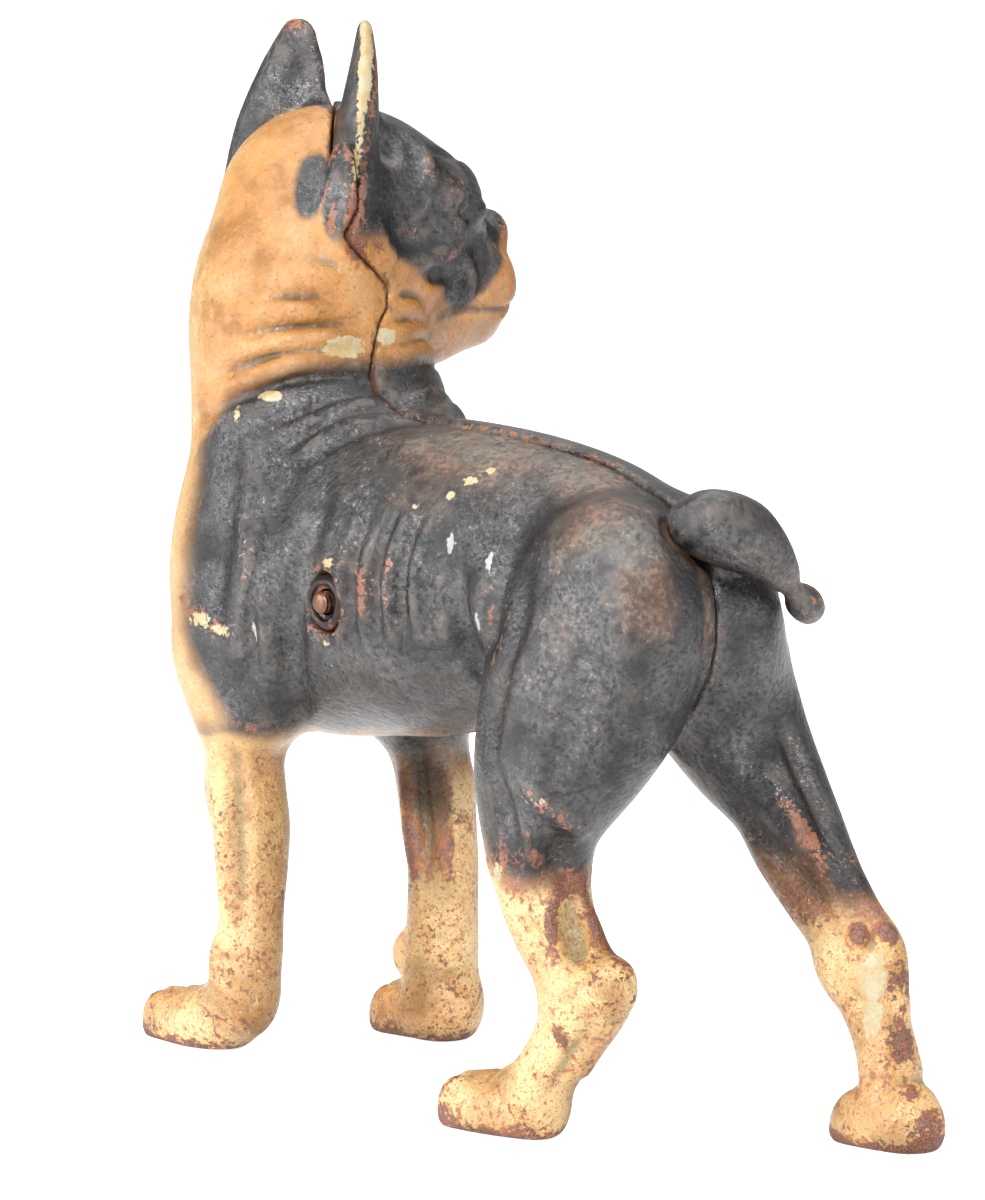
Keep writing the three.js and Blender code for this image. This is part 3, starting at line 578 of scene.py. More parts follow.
def parting_y(x, z):
    """Where the seam lies across the dog: the mid plane, but for the head, the nape and the ear."""
    across = np.clip((x - NAPE_X) / (FACE_X - NAPE_X), 0, 1)
    lean = PART_ON_NAPE + (PART_ON_FACE - PART_ON_NAPE) * across
    over_head = smoothstep(z, HEAD_STARTS, HEAD_FULL) * lean
    nape = 1 - smoothstep(x, 54, 64)
    cusp = -CUSP_DEPTH * np.exp(-(((z - CUSP_Z) / 4.2) ** 2)) * nape
    back = BACK_SHIFT * smoothstep(z, 78, 82) * (1 - smoothstep(z, 86, 93)) * nape
    beside_ear = -EAR_SHIFT * smoothstep(z, 104, 110) * (1 - smoothstep(x, 62, 70))
    return over_head + cusp + back + beside_ear


def both(a, b, soft):
    """What lies inside both of two fields, with its edge eased by `soft`."""
    near = np.maximum(soft - np.abs(a - b), 0) / soft
    return np.maximum(a, b) + near * near * soft * 0.25


def either(a, b, soft):
    return -both(-a, -b, soft)


def make_shell(body, core, side):
    """One half shell's field: side is +1 for the left and -1 for the right.

    The left half is cleared along the tail's path, so that it slides off past the tail.
    """
    x, y, z = np.meshgrid(*body.axes, indexing="ij", sparse=True)
    proud = BACK_STEP * smoothstep(z, 70, 75) * (1 - smoothstep(x, 34, 44)) if side < 0 else 0
    half = both(body.field - proud, side * (parting_y(x, z) - y) + SEAM_GAP / 2, EASE_EDGE)
    if side > 0:
        for shift in TAIL_SWEEP:
            relief = tail_shape(body.step, TAIL_CLEARANCE, -shift)
            half = both(half, -relief.field, EASE_TAIL_GAP)
    else:
        half = either(half, tail_shape(body.step).field, EASE_TAIL_JOIN)
    half = both(half, -(core.field + WALL), EASE_CORE)
    from_screw = np.sqrt((x - SCREW_X) ** 2 + (z - SCREW_Z) ** 2)
    across_post = np.maximum(SEAM_GAP / 2 - side * y, side * y - RECESS_FLOOR - POST_FLOOR)
    half = either(half, np.maximum(from_screw - POST_RADIUS, across_post), EASE_POST)
    half = both(half, SHANK_RADIUS + SHANK_CLEARANCE - from_screw, EASE_BORE)
    half = both(half, -np.maximum(from_screw - RECESS_RADIUS, RECESS_FLOOR - side * y), EASE_EDGE)
    slot = np.maximum(np.abs(x - COIN_SLOT_X) - COIN_SLOT_LENGTH / 2, np.abs(y) - COIN_SLOT_WIDTH / 2)
    half = both(half, -np.maximum(slot, z - COIN_SLOT_TOP), EASE_EDGE)
    return both(half, -z, EASE_SOLE)


def skin(clay, field):
    """Vertices and quads of the surface where the field is zero, one vertex to each cell that it passes."""
    inside = field < 0
    cells = np.zeros(np.array(field.shape) - 1, np.uint8)
    corners = [(i, j, k) for i in (0, 1) for j in (0, 1) for k in (0, 1)]
    shape = cells.shape
    for i, j, k in corners:
        cells += inside[i:i + shape[0], j:j + shape[1], k:k + shape[2]]
    where = np.argwhere((cells > 0) & (cells < 8))
    value = {c: field[where[:, 0] + c[0], where[:, 1] + c[1], where[:, 2] + c[2]] for c in corners}
    total = np.zeros((len(where), 3), np.float32)
    crossings = np.zeros(len(where), np.float32)
    for a in corners:
        for axis in range(3):
            if a[axis]:
                continue
            b = tuple(1 if i == axis else v for i, v in enumerate(a))
            crossed = (value[a] < 0) != (value[b] < 0)
            t = value[a] / np.where(crossed, value[a] - value[b], 1)
            place = np.tile(np.array(a, np.float32), (len(where), 1))
            place[:, axis] += t
            total += place * crossed[:, None]
            crossings += crossed
    vertices = clay.low + clay.step * (where + total / crossings[:, None])
    number = np.full(shape, -1, np.int64)
    number[tuple(where.T)] = np.arange(len(where))
    quads = []
    for axis in range(3):
        u, v = (axis + 1) % 3, (axis + 2) % 3
        near = [slice(1, -1)] * 3
        near[axis] = slice(0, -1)
        far = list(near)
        far[axis] = slice(1, None)
        here, there = inside[tuple(near)], inside[tuple(far)]
        edges = np.argwhere(here != there)
        edges[:, u] += 1
        edges[:, v] += 1
        flip = inside[tuple(edges.T)]
        ring = []
        for du, dv in ((1, 1), (0, 1), (0, 0), (1, 0)):
            cell = edges.copy()
            cell[:, u] -= du
            cell[:, v] -= dv
            ring.append(number[tuple(cell.T)])
        ring = np.stack(ring, 1)
        ring[~flip] = ring[~flip][:, ::-1]
        quads.append(ring)
    return vertices, np.concatenate(quads)


def settle(clay, field, vertices):
    """Moves the vertices onto the zero surface, so that the skin has no grid steps."""
    keep = clay.field
    clay.field = field
    for _ in range(2):
        depth = np.clip(clay.sample(vertices), -0.5 * clay.step, 0.5 * clay.step)
        vertices = vertices - clay.slope(vertices, 0.6 * clay.step) * depth[:, None]
    clay.field = keep
    return vertices


# ---------------------------------------------------------------- paint: colours over the casting


def srgb(red, green, blue):
    """A colour given as 0-255 screen values, in the linear values that shaders use."""
    value = np.array([red, green, blue]) / 255
    return np.where(value <= 0.04045, value / 12.92, ((value + 0.055) / 1.055) ** 2.4)


BLACK = srgb(22, 22, 24)
TAN = srgb(150, 103, 50)
CREAM = srgb(190, 164, 116)
CORE_IRON = srgb(66, 50, 44)


def head_frame(points):
    """Forward, left and up distances of points in the head's frame."""
    return ((points - HEAD_CENTRE) @ HEAD_AXES.T).T


def ripple(points, scale, seed):
    """A soft wandering value between about -1 and 1, for the edges of sprayed colour."""
    a, b, c = (points / scale + seed).T
    wave = np.sin(a + 1.7 * np.sin(b * 0.9)) + np.sin(b * 1.1 + 1.3 * np.sin(c))
    wave = wave + np.sin(c * 1.2 + 1.5 * np.sin(a * 0.8))
    return wave / 3


def near_mark(points, centre, radii):
    """1 at a mark's centre, falling to 0 at its rim."""
    return np.clip(1.4 - 1.4 * np.linalg.norm((points - centre) / radii, axis=1), 0, 1)


# The lower edge of the black face, as heights for distances forward in the head's frame.
FACE_EDGE_FORWARD = (-6.5, -4.6, -3.0, -1.0, 3.3, 8.0, 12.0, 15.1, 18.3, 20.6, 24.0)
FACE_EDGE_UP = (30.0, 3.0, -2.2, -3.9, -5.7, -8.0, -10.8, -8.1, -5.0, -1.0, 3.0)


def paint_masks(points, off_core):
    """How much black lies over the tan at each point, and how much cream is in the tan."""
    x, y, z = points.T
    forward, left, up = head_frame(points)
    wander = ripple(points, 5.0, 0.3)
    small = ripple(points, 1.9, 4.0)

    fore, left_side = x > 36, y > 0

    # The neck and the back of the head are tan down to a slanting line, and so is the front of the chest.
    neck_line = np.interp(x, (40, 48, 54, 60, 64, 68, 72), (93, 91, 88, 84, 79, 70, 60))
    neck_line = neck_line + 1.4 * wander + 0.5 * small
    tan_neck = smoothstep(z, neck_line - 2.4, neck_line + 2.0)
    chest_edge = x + 0.3 * np.abs(y) + 0.45 * np.clip(56 - z, 0, 12)
    tan_chest = smoothstep(chest_edge, 66.4 + 1.6 * wander, 72.0 + 1.6 * wander)
    tan_chest = tan_chest * smoothstep(z, 40, 46) * fore
    tan = np.maximum(tan_neck, tan_chest)

    # Legs are tan or cream below their own lines.
    leg_line = np.where(fore, np.where(left_side, 43.0, 37.0), np.where(left_side, 31.5, 27.5))
    rising = np.where(fore, 0, np.where(left_side, 0.30 * (x + 3), 0))
    leg_line = leg_line + rising + 1.6 * wander + 1.4 * small
    leg_line = leg_line - 4.0 * smoothstep(-x, 6, 9) * (~fore & left_side)
    spread = np.where(fore, np.where(left_side, 1.6, 5.0), np.where(left_side, 2.2, 3.6))
    pale_leg = 1 - smoothstep(z, leg_line - spread, leg_line + spread)
    outward, inward = -0.68 * x - 0.74 * y, 0.74 * x - 0.68 * y
    dark_band = smoothstep(outward, -29.6, -27.8) * (1 - smoothstep(outward, -23.6, -21.8))
    dark_band = dark_band * (1 - smoothstep(inward, 47, 49))
    dark_band = dark_band * smoothstep(z + 2.0 * wander, 15, 34) * (1 - smoothstep(z, 44, 50))
    dark_band = dark_band * fore * ~left_side
    front_line = (x - (2.0 - 0.86 * (47 - z)) > -1.0) & (z < 46) & ~fore & ~left_side
    olive = smoothstep(y, -9.6, -7.6) * (1 - smoothstep(z, 25, 36)) * ~fore * ~left_side

    # The head is black from the ears forward over the eyes, down to a line across the cheek.
    edge = np.interp(forward, FACE_EDGE_FORWARD, FACE_EDGE_UP) + 0.5 * wander + 0.4 * small
    mask = smoothstep(up, edge - 0.7, edge + 0.7) * (z > 88)
    ear = smoothstep(off_core, 0.35, 0.9) * smoothstep(z, 103.5, 106.5) * (forward < 4)

    black = 1 - np.maximum(tan, pale_leg)
    black = np.minimum(black, 1 - 0.75 * front_line * smoothstep(small, -0.6, 0.3))
    black = np.minimum(black, 1 - 0.7 * olive)
    black = np.maximum(black, 0.85 * dark_band)
    black = np.maximum(black, np.maximum(mask, ear))
    # A black patch over the hollow behind the right ear's root: dark paint, and painted shade for the
    # hollow's depth.
    black = np.maximum(black, 3.0 * near_mark(points, (54.7, 4.4, 113.2), (2.9, 3.0, 8.0)))
    cream = pale_leg * (0.6 + 0.5 * ripple(points, 3.4, 2.0)) + tan_chest * 0.45
    return np.clip(black, 0, 1), np.clip(cream, 0, 1)


# The right ear's middle line, as forward and left distances for heights in the head's frame.
EAR_UP = (-1.0, 4.0, 11.0, 18.5, 24.2)
EAR_FORWARD = (-5.0, -5.6, -4.4, -3.0, -2.4)
EAR_LEFT = (-11.5, -11.5, -11.0, -10.0, -9.0)


def ear_rim(points):
    """How near points are to the worn line down the right ear's rear rim, and how far up they lie."""
    forward, left, up = head_frame(points)
    forward = forward - np.interp(up, EAR_UP, EAR_FORWARD)
    left = left - np.interp(up, EAR_UP, EAR_LEFT)
    over = forward * 0.865 - left * 0.5
    behind = -forward * 0.5 - left * 0.865
    wander = 0.25 * ripple(points, 1.1, 7.0)
    near = np.clip(1 - np.abs(over - 0.3 + wander) / 1.25, 0, 1) * (behind > 0.3)
    edge = np.clip(1 - np.abs(over - 1.5 + wander) / 0.6, 0, 1) * (behind > 0.3)
    return near, edge, up


# Places where the paint is gone or an older coat shows, and a painted highlight on the left shoulder ridge
# among the scratches: centre, radii, strength.
CREAM_MARKS = (
    ((59.8, 18.6, 57.2), (3.6, 3, 1.6), 0.55), ((55.6, 18.6, 56.2), (3.4, 3, 1.5), 0.5),
    ((36.4, 16.4, 58.4), (1.0, 2.0, 2.2), 0.8), ((34.4, 16.4, 60.0), (0.9, 2.0, 1.6), 0.8),
    ((48.3, 4.4, 91.6), (4.6, 3.8, 1.9), 1.0), ((47.6, -2.0, 92.8), (2.2, 2.2, 1.5), 1.0),
    ((53.4, 12.4, 85.6), (3.0, 2.2, 1.0), 0.9), ((57.5, 13.8, 83.0), (1.6, 1.6, 2.2), 0.6),
    ((-30.3, -9.3, 20.4), (2.0, 3.0, 4.0), 1.1), ((-30.6, -8.7, 15.8), (1.6, 2.6, 3.6), 0.9),
    ((19.4, 12.6, 75.2), (1.0, 1.0, 1.0), 0.75), ((17.6, 11, 77), (1.5, 1.3, 1.0), 0.8),
    ((15.9, 9.2, 78.3), (1.1, 1.1, 0.9), 0.75), ((24, 14, 73.5), (0.8, 0.8, 0.8), 0.7),
    ((34.2, 16.6, 63.4), (1.0, 2.0, 3.4), 1.0), ((36.6, 16.6, 66.0), (2.2, 2.0, 0.9), 0.8),
    ((38.0, 17.4, 55.8), (1.4, 1.6, 0.7), 0.8), ((2.2, 20.4, 32.2), (1.6, 3, 2.4), 0.6),
    ((-11.0, 18.6, 2.2), (1.0, 1.0, 0.8), 0.8), ((9.0, 20.0, 1.6), (1.0, 1.2, 0.8), 1.0),
)
SCRATCHES_AND_SHOULDER_HIGHLIGHT = (
    ((17.1, 14.8, 69.7), (0.7, 1.6, 1.7), 1.1), ((10.0, 15.2, 68.2), (0.7, 1.8, 2.0), 1.0),
    ((11.6, 15.0, 60.6), (0.6, 1.8, 1.8), 1.0), ((12.6, 14.4, 56.0), (0.6, 2.0, 2.6), 0.9),
    ((11.4, 15.0, 50.5), (0.6, 2.2, 3.6), 0.9), ((10.8, 16.4, 44.0), (0.6, 2.4, 4.4), 0.8),
    # The last mark on this line and the first on the next, on the left shoulder ridge, are a painted
    # highlight streak.
    ((9.8, 17.2, 38.0), (0.6, 2.4, 3.0), 0.7), ((50.8, 18.4, 66.0), (0.7, 1.6, 3.0), 0.8),
    ((50.2, 18.0, 56.0), (0.7, 1.6, 2.6), 0.7), ((49.6, 4.4, 111.0), (0.8, 1.6, 6.5), 0.8),
    ((-4.4, 21.0, 41.6), (2.4, 1.6, 0.9), 0.7),
)
CHIP_MARKS = (
    ((53.8, 4.6, 117.0), (0.9, 1.6, 4.0), 0.95), ((52.6, 4.9, 111.6), (0.9, 1.6, 3.8), 0.95),
    ((51.0, 4.4, 107.0), (0.9, 1.6, 3.2), 0.95), ((49.2, 2.6, 103.4), (0.9, 1.6, 2.4), 0.8),
    ((5.5, 17.6, 59), (1.8, 3, 9), 0.55), ((9.5, 16.2, 61), (1.6, 3, 6), 0.5),
    ((1.5, 19.5, 50), (1.6, 3, 8), 0.45),
    ((63.4, 17.6, 59.4), (2.6, 3.5, 1.8), 0.95), ((60.4, 18.4, 57.6), (3.0, 3.5, 2.2), 0.9),
    ((56.4, 18.8, 56.4), (3.0, 3, 1.8), 0.85), ((53.4, 17.8, 56.4), (1.6, 2.6, 2.6), 0.75),
    ((66.6, 14.6, 62.0), (2.0, 3.0, 4.0), 0.6), ((54.6, 13.2, 44.0), (4, 5.5, 2.4), 0.9),
    ((38.0, 17.0, 61), (5.0, 2.8, 5.6), 0.72), ((30.0, 17, 63), (2.6, 2.4, 4.0), 0.5),
    ((33.0, 17, 68), (2.4, 2.0, 2.6), 0.5),
    ((-7.3, 19.2, 14.0), (1.8, 1.8, 2.6), 1.0), ((-12.2, 16.2, 20.0), (1.6, 2.2, 2.6), 1.0),
    ((-28.1, -9.3, 24.8), (1.9, 1.8, 1.9), 1.0), ((-30.6, -11.4, 25.0), (1.9, 1.8, 1.8), 0.9),
    ((0.4, 20, 34.4), (5, 3, 2.6), 0.6), ((-6, 16, 31.4), (2.4, 3, 2.2), 0.75),
    ((-9.0, 13.6, 26.5), (2.0, 3, 4.0), 0.6),
    ((-31.6, -12.0, 19.6), (1.5, 2.2, 3.4), 0.95), ((-33.0, -11.4, 13.0), (1.5, 2.2, 4.6), 0.95),
    ((-35.4, -10.8, 7.6), (1.6, 2.2, 4.0), 0.95), ((-33.8, -11.6, 33.0), (3.0, 3.0, 5.0), 0.5),
    ((11.6, 19, 3), (4, 4, 3.0), 0.75), ((-20.0, -8.6, 36.5), (2.0, 2.0, 3.0), 0.45),
    ((81, 9.5, 2), (3, 5, 3), 0.8), ((62, -13, 1), (4, 5, 2), 0.7), ((-24, -12, 2), (4, 5, 2.4), 0.8),
    ((-38, -12, 3), (3, 5, 4), 0.7), (head(21.6, -3.0, -0.5), (2.6, 2.6, 3.0), 0.6),
    (head(-4.0, 9.6, 20.0), (3.2, 3.2, 4.0), 0.72), (head(-6.0, 13.0, 13.0), (3.0, 3.0, 3.0), 0.6),
    (head(-4.6, 6.0, 26.0), (2.4, 2.4, 2.4), 0.6), (head(-8.6, -17.0, 3.0), (1.6, 1.6, 8.0), 0.7),
    (head(-4.6, -16.0, -1.4), (2.4, 2.0, 3.4), 0.7), (head(9.4, -12.0, 6.0), (2.0, 2.0, 1.6), 0.5),
)
RUST_MARKS = (
    ((20, 7, 80), (26, 13, 10), 1.0), ((-13.5, 12.5, 66), (8, 8, 13), 1.0), ((24, 13, 74), (12, 6, 6), 0.6),
    (head(-9, 4, 11), (9, 10, 9), 0.9),
    ((-6, 11, 71), (13, 12, 12), 1.0), ((3, 6, 79), (17, 12, 8), 0.9), ((-13.5, 3, 64), (5, 4, 16), 0.9),
    ((-6, 17, 60), (10, 7, 10), 0.6), ((14, 15, 60), (9, 6, 12), 0.35), ((2, 19, 54), (6, 6, 12), 0.45),
    (head(8, -12, 4), (7, 7, 7), 0.45), ((36, 3, 43), (28, 8, 4.5), 0.95), ((-12, -8, 72), (10, 9, 9), 0.6),
    ((38, 17, 61), (8, 5, 9), 0.55), ((-18, -7, 66), (6, 8, 7), 0.7), ((31, 16, 66), (10, 5, 11), 0.5),
    ((47, 1, 86), (8, 6, 6), 0.5), ((-10, -12, 50), (9, 8, 14), 0.3),
)


def mark_value(points, marks, soft=False):
    value = np.zeros(len(points))
    for centre, radii, strength in marks:
        near = near_mark(points, np.array(centre), np.array(radii))
        value = np.maximum(value, strength * (smoothstep(near, 0, 1.5) if soft else near))
    return value


def box_blur(field, reach):
    """The mean of each cell's neighbourhood."""
    for axis in range(3):
        total = np.cumsum(field, axis=axis, dtype=np.float64)
        low = np.concatenate([np.zeros_like(np.take(total, [0], axis)), total], axis)
        count = field.shape[axis]
        first = np.clip(np.arange(count) - reach, 0, count)
        last = np.clip(np.arange(count) + reach + 1, 0, count)
        field = (np.take(low, last, axis) - np.take(low, first, axis)) / (last - first).reshape(
            [-1 if i == axis else 1 for i in range(3)])
    return field.astype(np.float32)


# ---------------------------------------------------------------- meshes


def mesh_object(name, vertices, quads):
    """A smooth-shaded object from design millimetres."""
    mesh = bpy.data.meshes.new(name)
    mesh.vertices.add(len(vertices))
    mesh.vertices.foreach_set("co", ((vertices + SHIFT) * MM).astype(np.float32).ravel())
    mesh.loops.add(quads.size)
    mesh.loops.foreach_set("vertex_index", quads.astype(np.int32).ravel())
    mesh.polygons.add(len(quads))
    sides = quads.shape[1]
    mesh.polygons.foreach_set("loop_start", np.arange(0, quads.size, sides, dtype=np.int32))
    mesh.polygons.foreach_set("use_smooth", np.ones(len(quads), bool))
    mesh.update()
    mesh.validate()
    thing = bpy.data.objects.new(name, mesh)
    bpy.context.scene.collection.objects.link(thing)
    return thing


def add_colour(thing, name, colour):
    layer = thing.data.color_attributes.new(name, "FLOAT_COLOR", "POINT")
    rgba = np.ones((len(colour), 4), np.float32)
    rgba[:, :3] = colour
    layer.data.foreach_set("color", rgba.ravel())


def make_half(name, node, body_name, body, core, side, material):
    field = make_shell(body, core, side)
    vertices, quads = skin(body, field)
    vertices = settle(body, field, vertices)
    thing = mesh_object(name, vertices, quads)

    bend = (box_blur(field, max(1, round(1.4 / body.step))) - field) / body.step
    curve = body.sample(vertices, bend)
    outer = 1 - smoothstep(-body.sample(vertices), 0.25, 0.9)
    tail = tail_shape(body.step).sample(vertices)
    outer = np.maximum(outer, 1 - smoothstep(np.abs(tail), 0.3, 0.9)) if side < 0 else outer

    black, cream = paint_masks(vertices, core.sample(vertices))
    near_tail = (1 - smoothstep(np.abs(tail), 0.3, 1.0)) if side < 0 else 0
    black = np.maximum(black, near_tail)
    pale = TAN[None] + (CREAM - TAN)[None] * cream[:, None]
    ruddy = smoothstep(head_frame(vertices)[0], -3, 5) * smoothstep(vertices[:, 2], 88, 96)
    pale = pale * (1 - ruddy[:, None] * np.array([0.16, 0.30, 0.42]))
    colour = pale + (BLACK[None] - pale) * black[:, None]
    colour = colour * outer[:, None] + CORE_IRON[None] * (1 - outer[:, None])
    add_colour(thing, "coat", colour)
    rust = mark_value(vertices, RUST_MARKS, soft=True) * outer + 0.6 * (1 - outer)
    chips = mark_value(vertices, CHIP_MARKS)
    cream_spots = mark_value(vertices, CREAM_MARKS)
    rim, rim_edge, rim_up = ear_rim(vertices)
    worn = rim * (0.55 + 0.65 * smoothstep(rim_up, 13, 20)) * smoothstep(rim_up, 2, 8)
    cream_spots = np.maximum(cream_spots, worn)
    bare = np.maximum(rim_edge, rim * (1 - smoothstep(rim_up, 2, 8)))
    chips = np.maximum(chips, bare * smoothstep(rim_up, -7, -3) * 0.9)
    add_colour(thing, "marks", np.stack([rust, chips, cream_spots], 1))
    scratches_and_highlight = mark_value(vertices, SCRATCHES_AND_SHOULDER_HIGHLIGHT)
    hollow = np.clip(-curve, 0, 1)
    raised = np.clip(curve, 0, 1)
    add_colour(thing, "form", np.stack([raised, hollow, scratches_and_highlight], 1))
    sole = 1 - smoothstep(vertices[:, 2], 0.6, 3.0)
    leg = 1 - smoothstep(vertices[:, 2], 30, 46)
    add_colour(thing, "place", np.stack([black * outer, sole, leg], 1))
    thing.data.materials.append(material)
    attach(thing, body_name)
    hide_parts(node)
    return thing


# ---------------------------------------------------------------- shader graphs


class Value:
    """A number inside a shader, on which + - * build the nodes."""

    def __init__(self, graph, socket):
        self.graph = graph
        self.socket = socket

    def __add__(self, other):
        return self.graph.math("ADD", self, other)

    def __mul__(self, other):
        return self.graph.math("MULTIPLY", self, other)

    def __rsub__(self, other):
        return self.graph.math("SUBTRACT", other, self)

    def __sub__(self, other):
        return self.graph.math("SUBTRACT", self, other)

    __radd__ = __add__
    __rmul__ = __mul__

    def step(self, low, high):
        """Eases from 0 to 1 as the value goes from low to high."""
        node = self.graph.node("MapRange", {"Value": self, "From Min": low, "From Max": high})
        node.interpolation_type = "SMOOTHSTEP"
        return Value(self.graph, node.outputs["Result"])


class Graph:
    """Short names for the shader nodes that the materials use."""

    def __init__(self, name):
        self.material = bpy.data.materials.new(name)
        self.material.use_nodes = True
        self.tree = self.material.node_tree
        self.tree.nodes.clear()
        self.shader = self.tree.nodes.new("ShaderNodeBsdfPrincipled")
        self.tree.links.new(self.shader.outputs[0], self.node("OutputMaterial").inputs[0])
        self.place = self.node("TexCoord").outputs["Object"]

    def node(self, kind, values=None):
        node = self.tree.nodes.new("ShaderNode" + kind)
        for key, value in (values or {}).items():
            self.put(node.inputs[key], value)
        return node

    def put(self, socket, value):
        value = getattr(value, "socket", value)
        if hasattr(value, "is_linked"):
            self.tree.links.new(value, socket)
        elif isinstance(value, (tuple, list, np.ndarray)):
            socket.default_value = (*value,
                                    1.0) if len(value) == 3 and socket.type == "RGBA" else tuple(value)
        else:
            socket.default_value = value

    def look(self, **values):
        """Sets the shader's inputs, whose names are written with _ for a space."""
        for key, value in values.items():
            self.put(self.shader.inputs[key.replace("_", " ")], value)

    def math(self, operation, a, b):
        node = self.node("Math", {0: a, 1: b})
        node.operation = operation
        return Value(self, node.outputs[0])

    def noise(self, scale, detail, roughness, distortion=0.0):
        values = {"Vector": self.place, "Scale": scale, "Detail": detail}
        node = self.node("TexNoise", {**values, "Roughness": roughness, "Distortion": distortion})
        return Value(self, node.outputs["Fac"])

    def cells(self, scale):
        return Value(self, self.node("TexVoronoi",
                                     {"Vector": self.place, "Scale": scale}).outputs["Distance"])

    def mix(self, amount, a, b):
        node = self.tree.nodes.new("ShaderNodeMix")
        node.data_type = "RGBA"
        for index, value in ((0, amount), (6, a), (7, b)):
            self.put(node.inputs[index], value)
        return node.outputs[2]

    def scaled(self, colour, amount):
        node = self.tree.nodes.new("ShaderNodeVectorMath")
        node.operation = "SCALE"
        self.put(node.inputs[0], colour)
        self.put(node.inputs["Scale"], amount)
        return node.outputs[0]

    def colour(self, name):
        node = self.tree.nodes.new("ShaderNodeAttribute")
        node.attribute_name = name
        return node.outputs["Color"]

    def parts(self, name):
        """The three numbers of a colour attribute."""
        return [Value(self, out) for out in self.node("SeparateColor", {0: self.colour(name)}).outputs]

    def bump(self, layers):
        """Heights in metres, one over another."""
        normal = None
        for height, distance in layers:
            node = self.node("Bump", {"Strength": 1.0, "Distance": distance, "Height": height})
            if normal is not None:
                self.put(node.inputs["Normal"], normal)
            normal = node.outputs[0]
        self.look(Normal=normal)


def painted_iron():
    """Sprayed enamel on sand-cast iron, worn through to rust on its edges and marks."""
    g = Graph("painted_iron")
    rust, chip_mark, cream_mark = g.parts("marks")
    raised, hollow, scratch_and_highlight = g.parts("form")
    black, sole, leg = g.parts("place")
    pale = 1.0 - black
    broad = g.noise(140.0, 3.0, 0.55)
    middle = g.noise(420.0, 5.0, 0.6, 0.4)
    fine = g.noise(1500.0, 6.0, 0.65)
    grain = g.noise(4200.0, 4.0, 0.6)
    specks = g.noise(2600.0, 2.0, 0.5)
    blotch = g.noise(260.0, 8.0, 0.7, 0.8)
    cloud = 0.5 * broad + 0.5 * blotch

    # Pale coats: cream and thin on the legs, blooming lighter and dimmer on the neck.
    legs = leg * pale
    coat = g.mix(0.6 * legs * blotch.step(0.50, 0.62), g.colour("coat"), srgb(162, 102, 34))
    coat = g.mix(0.55 * legs * middle.step(0.56, 0.70), coat, srgb(190, 166, 116))
    coat = g.mix(0.4 * pale * cloud.step(0.46, 0.62), coat, srgb(150, 118, 69))
    coat = g.mix(0.6 * pale * (0.6 * broad + 0.4 * blotch).step(0.50, 0.36), coat, srgb(112, 74, 34))

    # Darkening in the hollows, partly soot and partly painted crease shade; olive dirt in those of the legs;
    # and thin black on the high places.
    soot_and_crease_shade = hollow.step(0.02, 0.45) * (0.55 + 0.4 * middle)
    coat = g.mix(soot_and_crease_shade * (1.0 - 0.75 * legs), coat, srgb(34, 28, 24))
    coat = g.mix(0.8 * legs * hollow.step(0.1, 0.6), coat, srgb(116, 106, 72))
    coat = g.mix(0.22 * black * raised.step(0.06, 0.5) * middle.step(0.42, 0.62), coat, srgb(110, 96, 84))
    paint = g.scaled(coat, 0.52 + 0.96 * (0.5 * broad + 0.5 * middle))

    # Pale specks, pin holes, and rust freckles of two sizes through the thin leg paint.
    paint = g.mix(0.6 * specks.step(0.66, 0.73) * blotch.step(0.42, 0.58), paint, srgb(117, 97, 74))
    paint = g.mix(0.7 * pale * specks.step(0.38, 0.32), paint, srgb(92, 58, 38))
    freckle = g.mix(grain.step(0.42, 0.58), srgb(138, 70, 26), srgb(88, 52, 32))
    paint = g.mix(0.75 * legs * (0.7 * fine + 0.3 * blotch).step(0.535, 0.575), paint, freckle)
    paint = g.mix(0.65 * legs * (0.75 * grain + 0.25 * middle).step(0.56, 0.60), paint, srgb(98, 58, 34))

    # Brown patina where the black has weathered.
    patina = (rust + 1.1 * (blotch - 0.56)).step(0.10, 0.90) * (0.5 + 0.5 * fine.step(0.30, 0.70))
    earth = g.mix(broad.step(0.36, 0.64), srgb(118, 82, 58), srgb(96, 86, 70))
    earth = g.mix(fine.step(0.30, 0.70), srgb(84, 74, 66), earth)
    paint = g.mix(patina * (0.55 + 0.45 * black), paint, earth)

    # Chips: on marks, on raised edges, along the black's lower border, on the lower legs and the soles.
    urge = 0.52 * chip_mark + 0.30 * raised.step(0.34, 1.0)
    urge = urge + 0.88 * black * pale * leg + 0.15 * leg + 0.26 * sole
    urge = urge + 1.5 * (fine - 0.5) + 1.1 * (blotch - 0.5)
    chips = urge.step(0.34, 0.39)
    metal = g.mix(grain.step(0.4, 0.6), srgb(56, 40, 32), srgb(116, 64, 38))
    rim = g.mix(broad.step(0.42, 0.58), metal, srgb(160, 86, 26))
    surface = g.mix(chips, paint, g.mix(urge.step(0.39, 0.48), rim, metal))

    # The older cream coat on its patches, and pale scratches; those on the left shoulder ridge are a painted
    # highlight streak.
    cream = (cream_mark + 1.3 * (fine - 0.5)).step(0.34, 0.42)
    surface = g.mix(cream, surface, g.mix(middle.step(0.4, 0.6), srgb(152, 142, 114), srgb(149, 128, 88)))
    scratched_and_highlit = (scratch_and_highlight + 1.9 * (fine - 0.5)).step(0.36, 0.5)
    surface = g.mix(0.85 * scratched_and_highlit, surface, srgb(144, 142, 136))

    rough = 0.05 + 0.24 * middle + 0.20 * patina + 0.32 * chips + 0.07 * pale
    gloss = cloud.step(0.34, 0.62) * fine.step(0.30, 0.62)
    g.look(Base_Color=surface, Roughness=g.math("MINIMUM", rough, 0.9),
           Specular_IOR_Level=0.26 + 0.75 * gloss)
    pits = g.cells(900.0).step(0.0, 0.35)
    g.bump(((grain, 0.00006), (fine, 0.00022), (pits, 0.00007), (-1.0 * chips, 0.00012), (middle, 0.00026)))
    return g.material


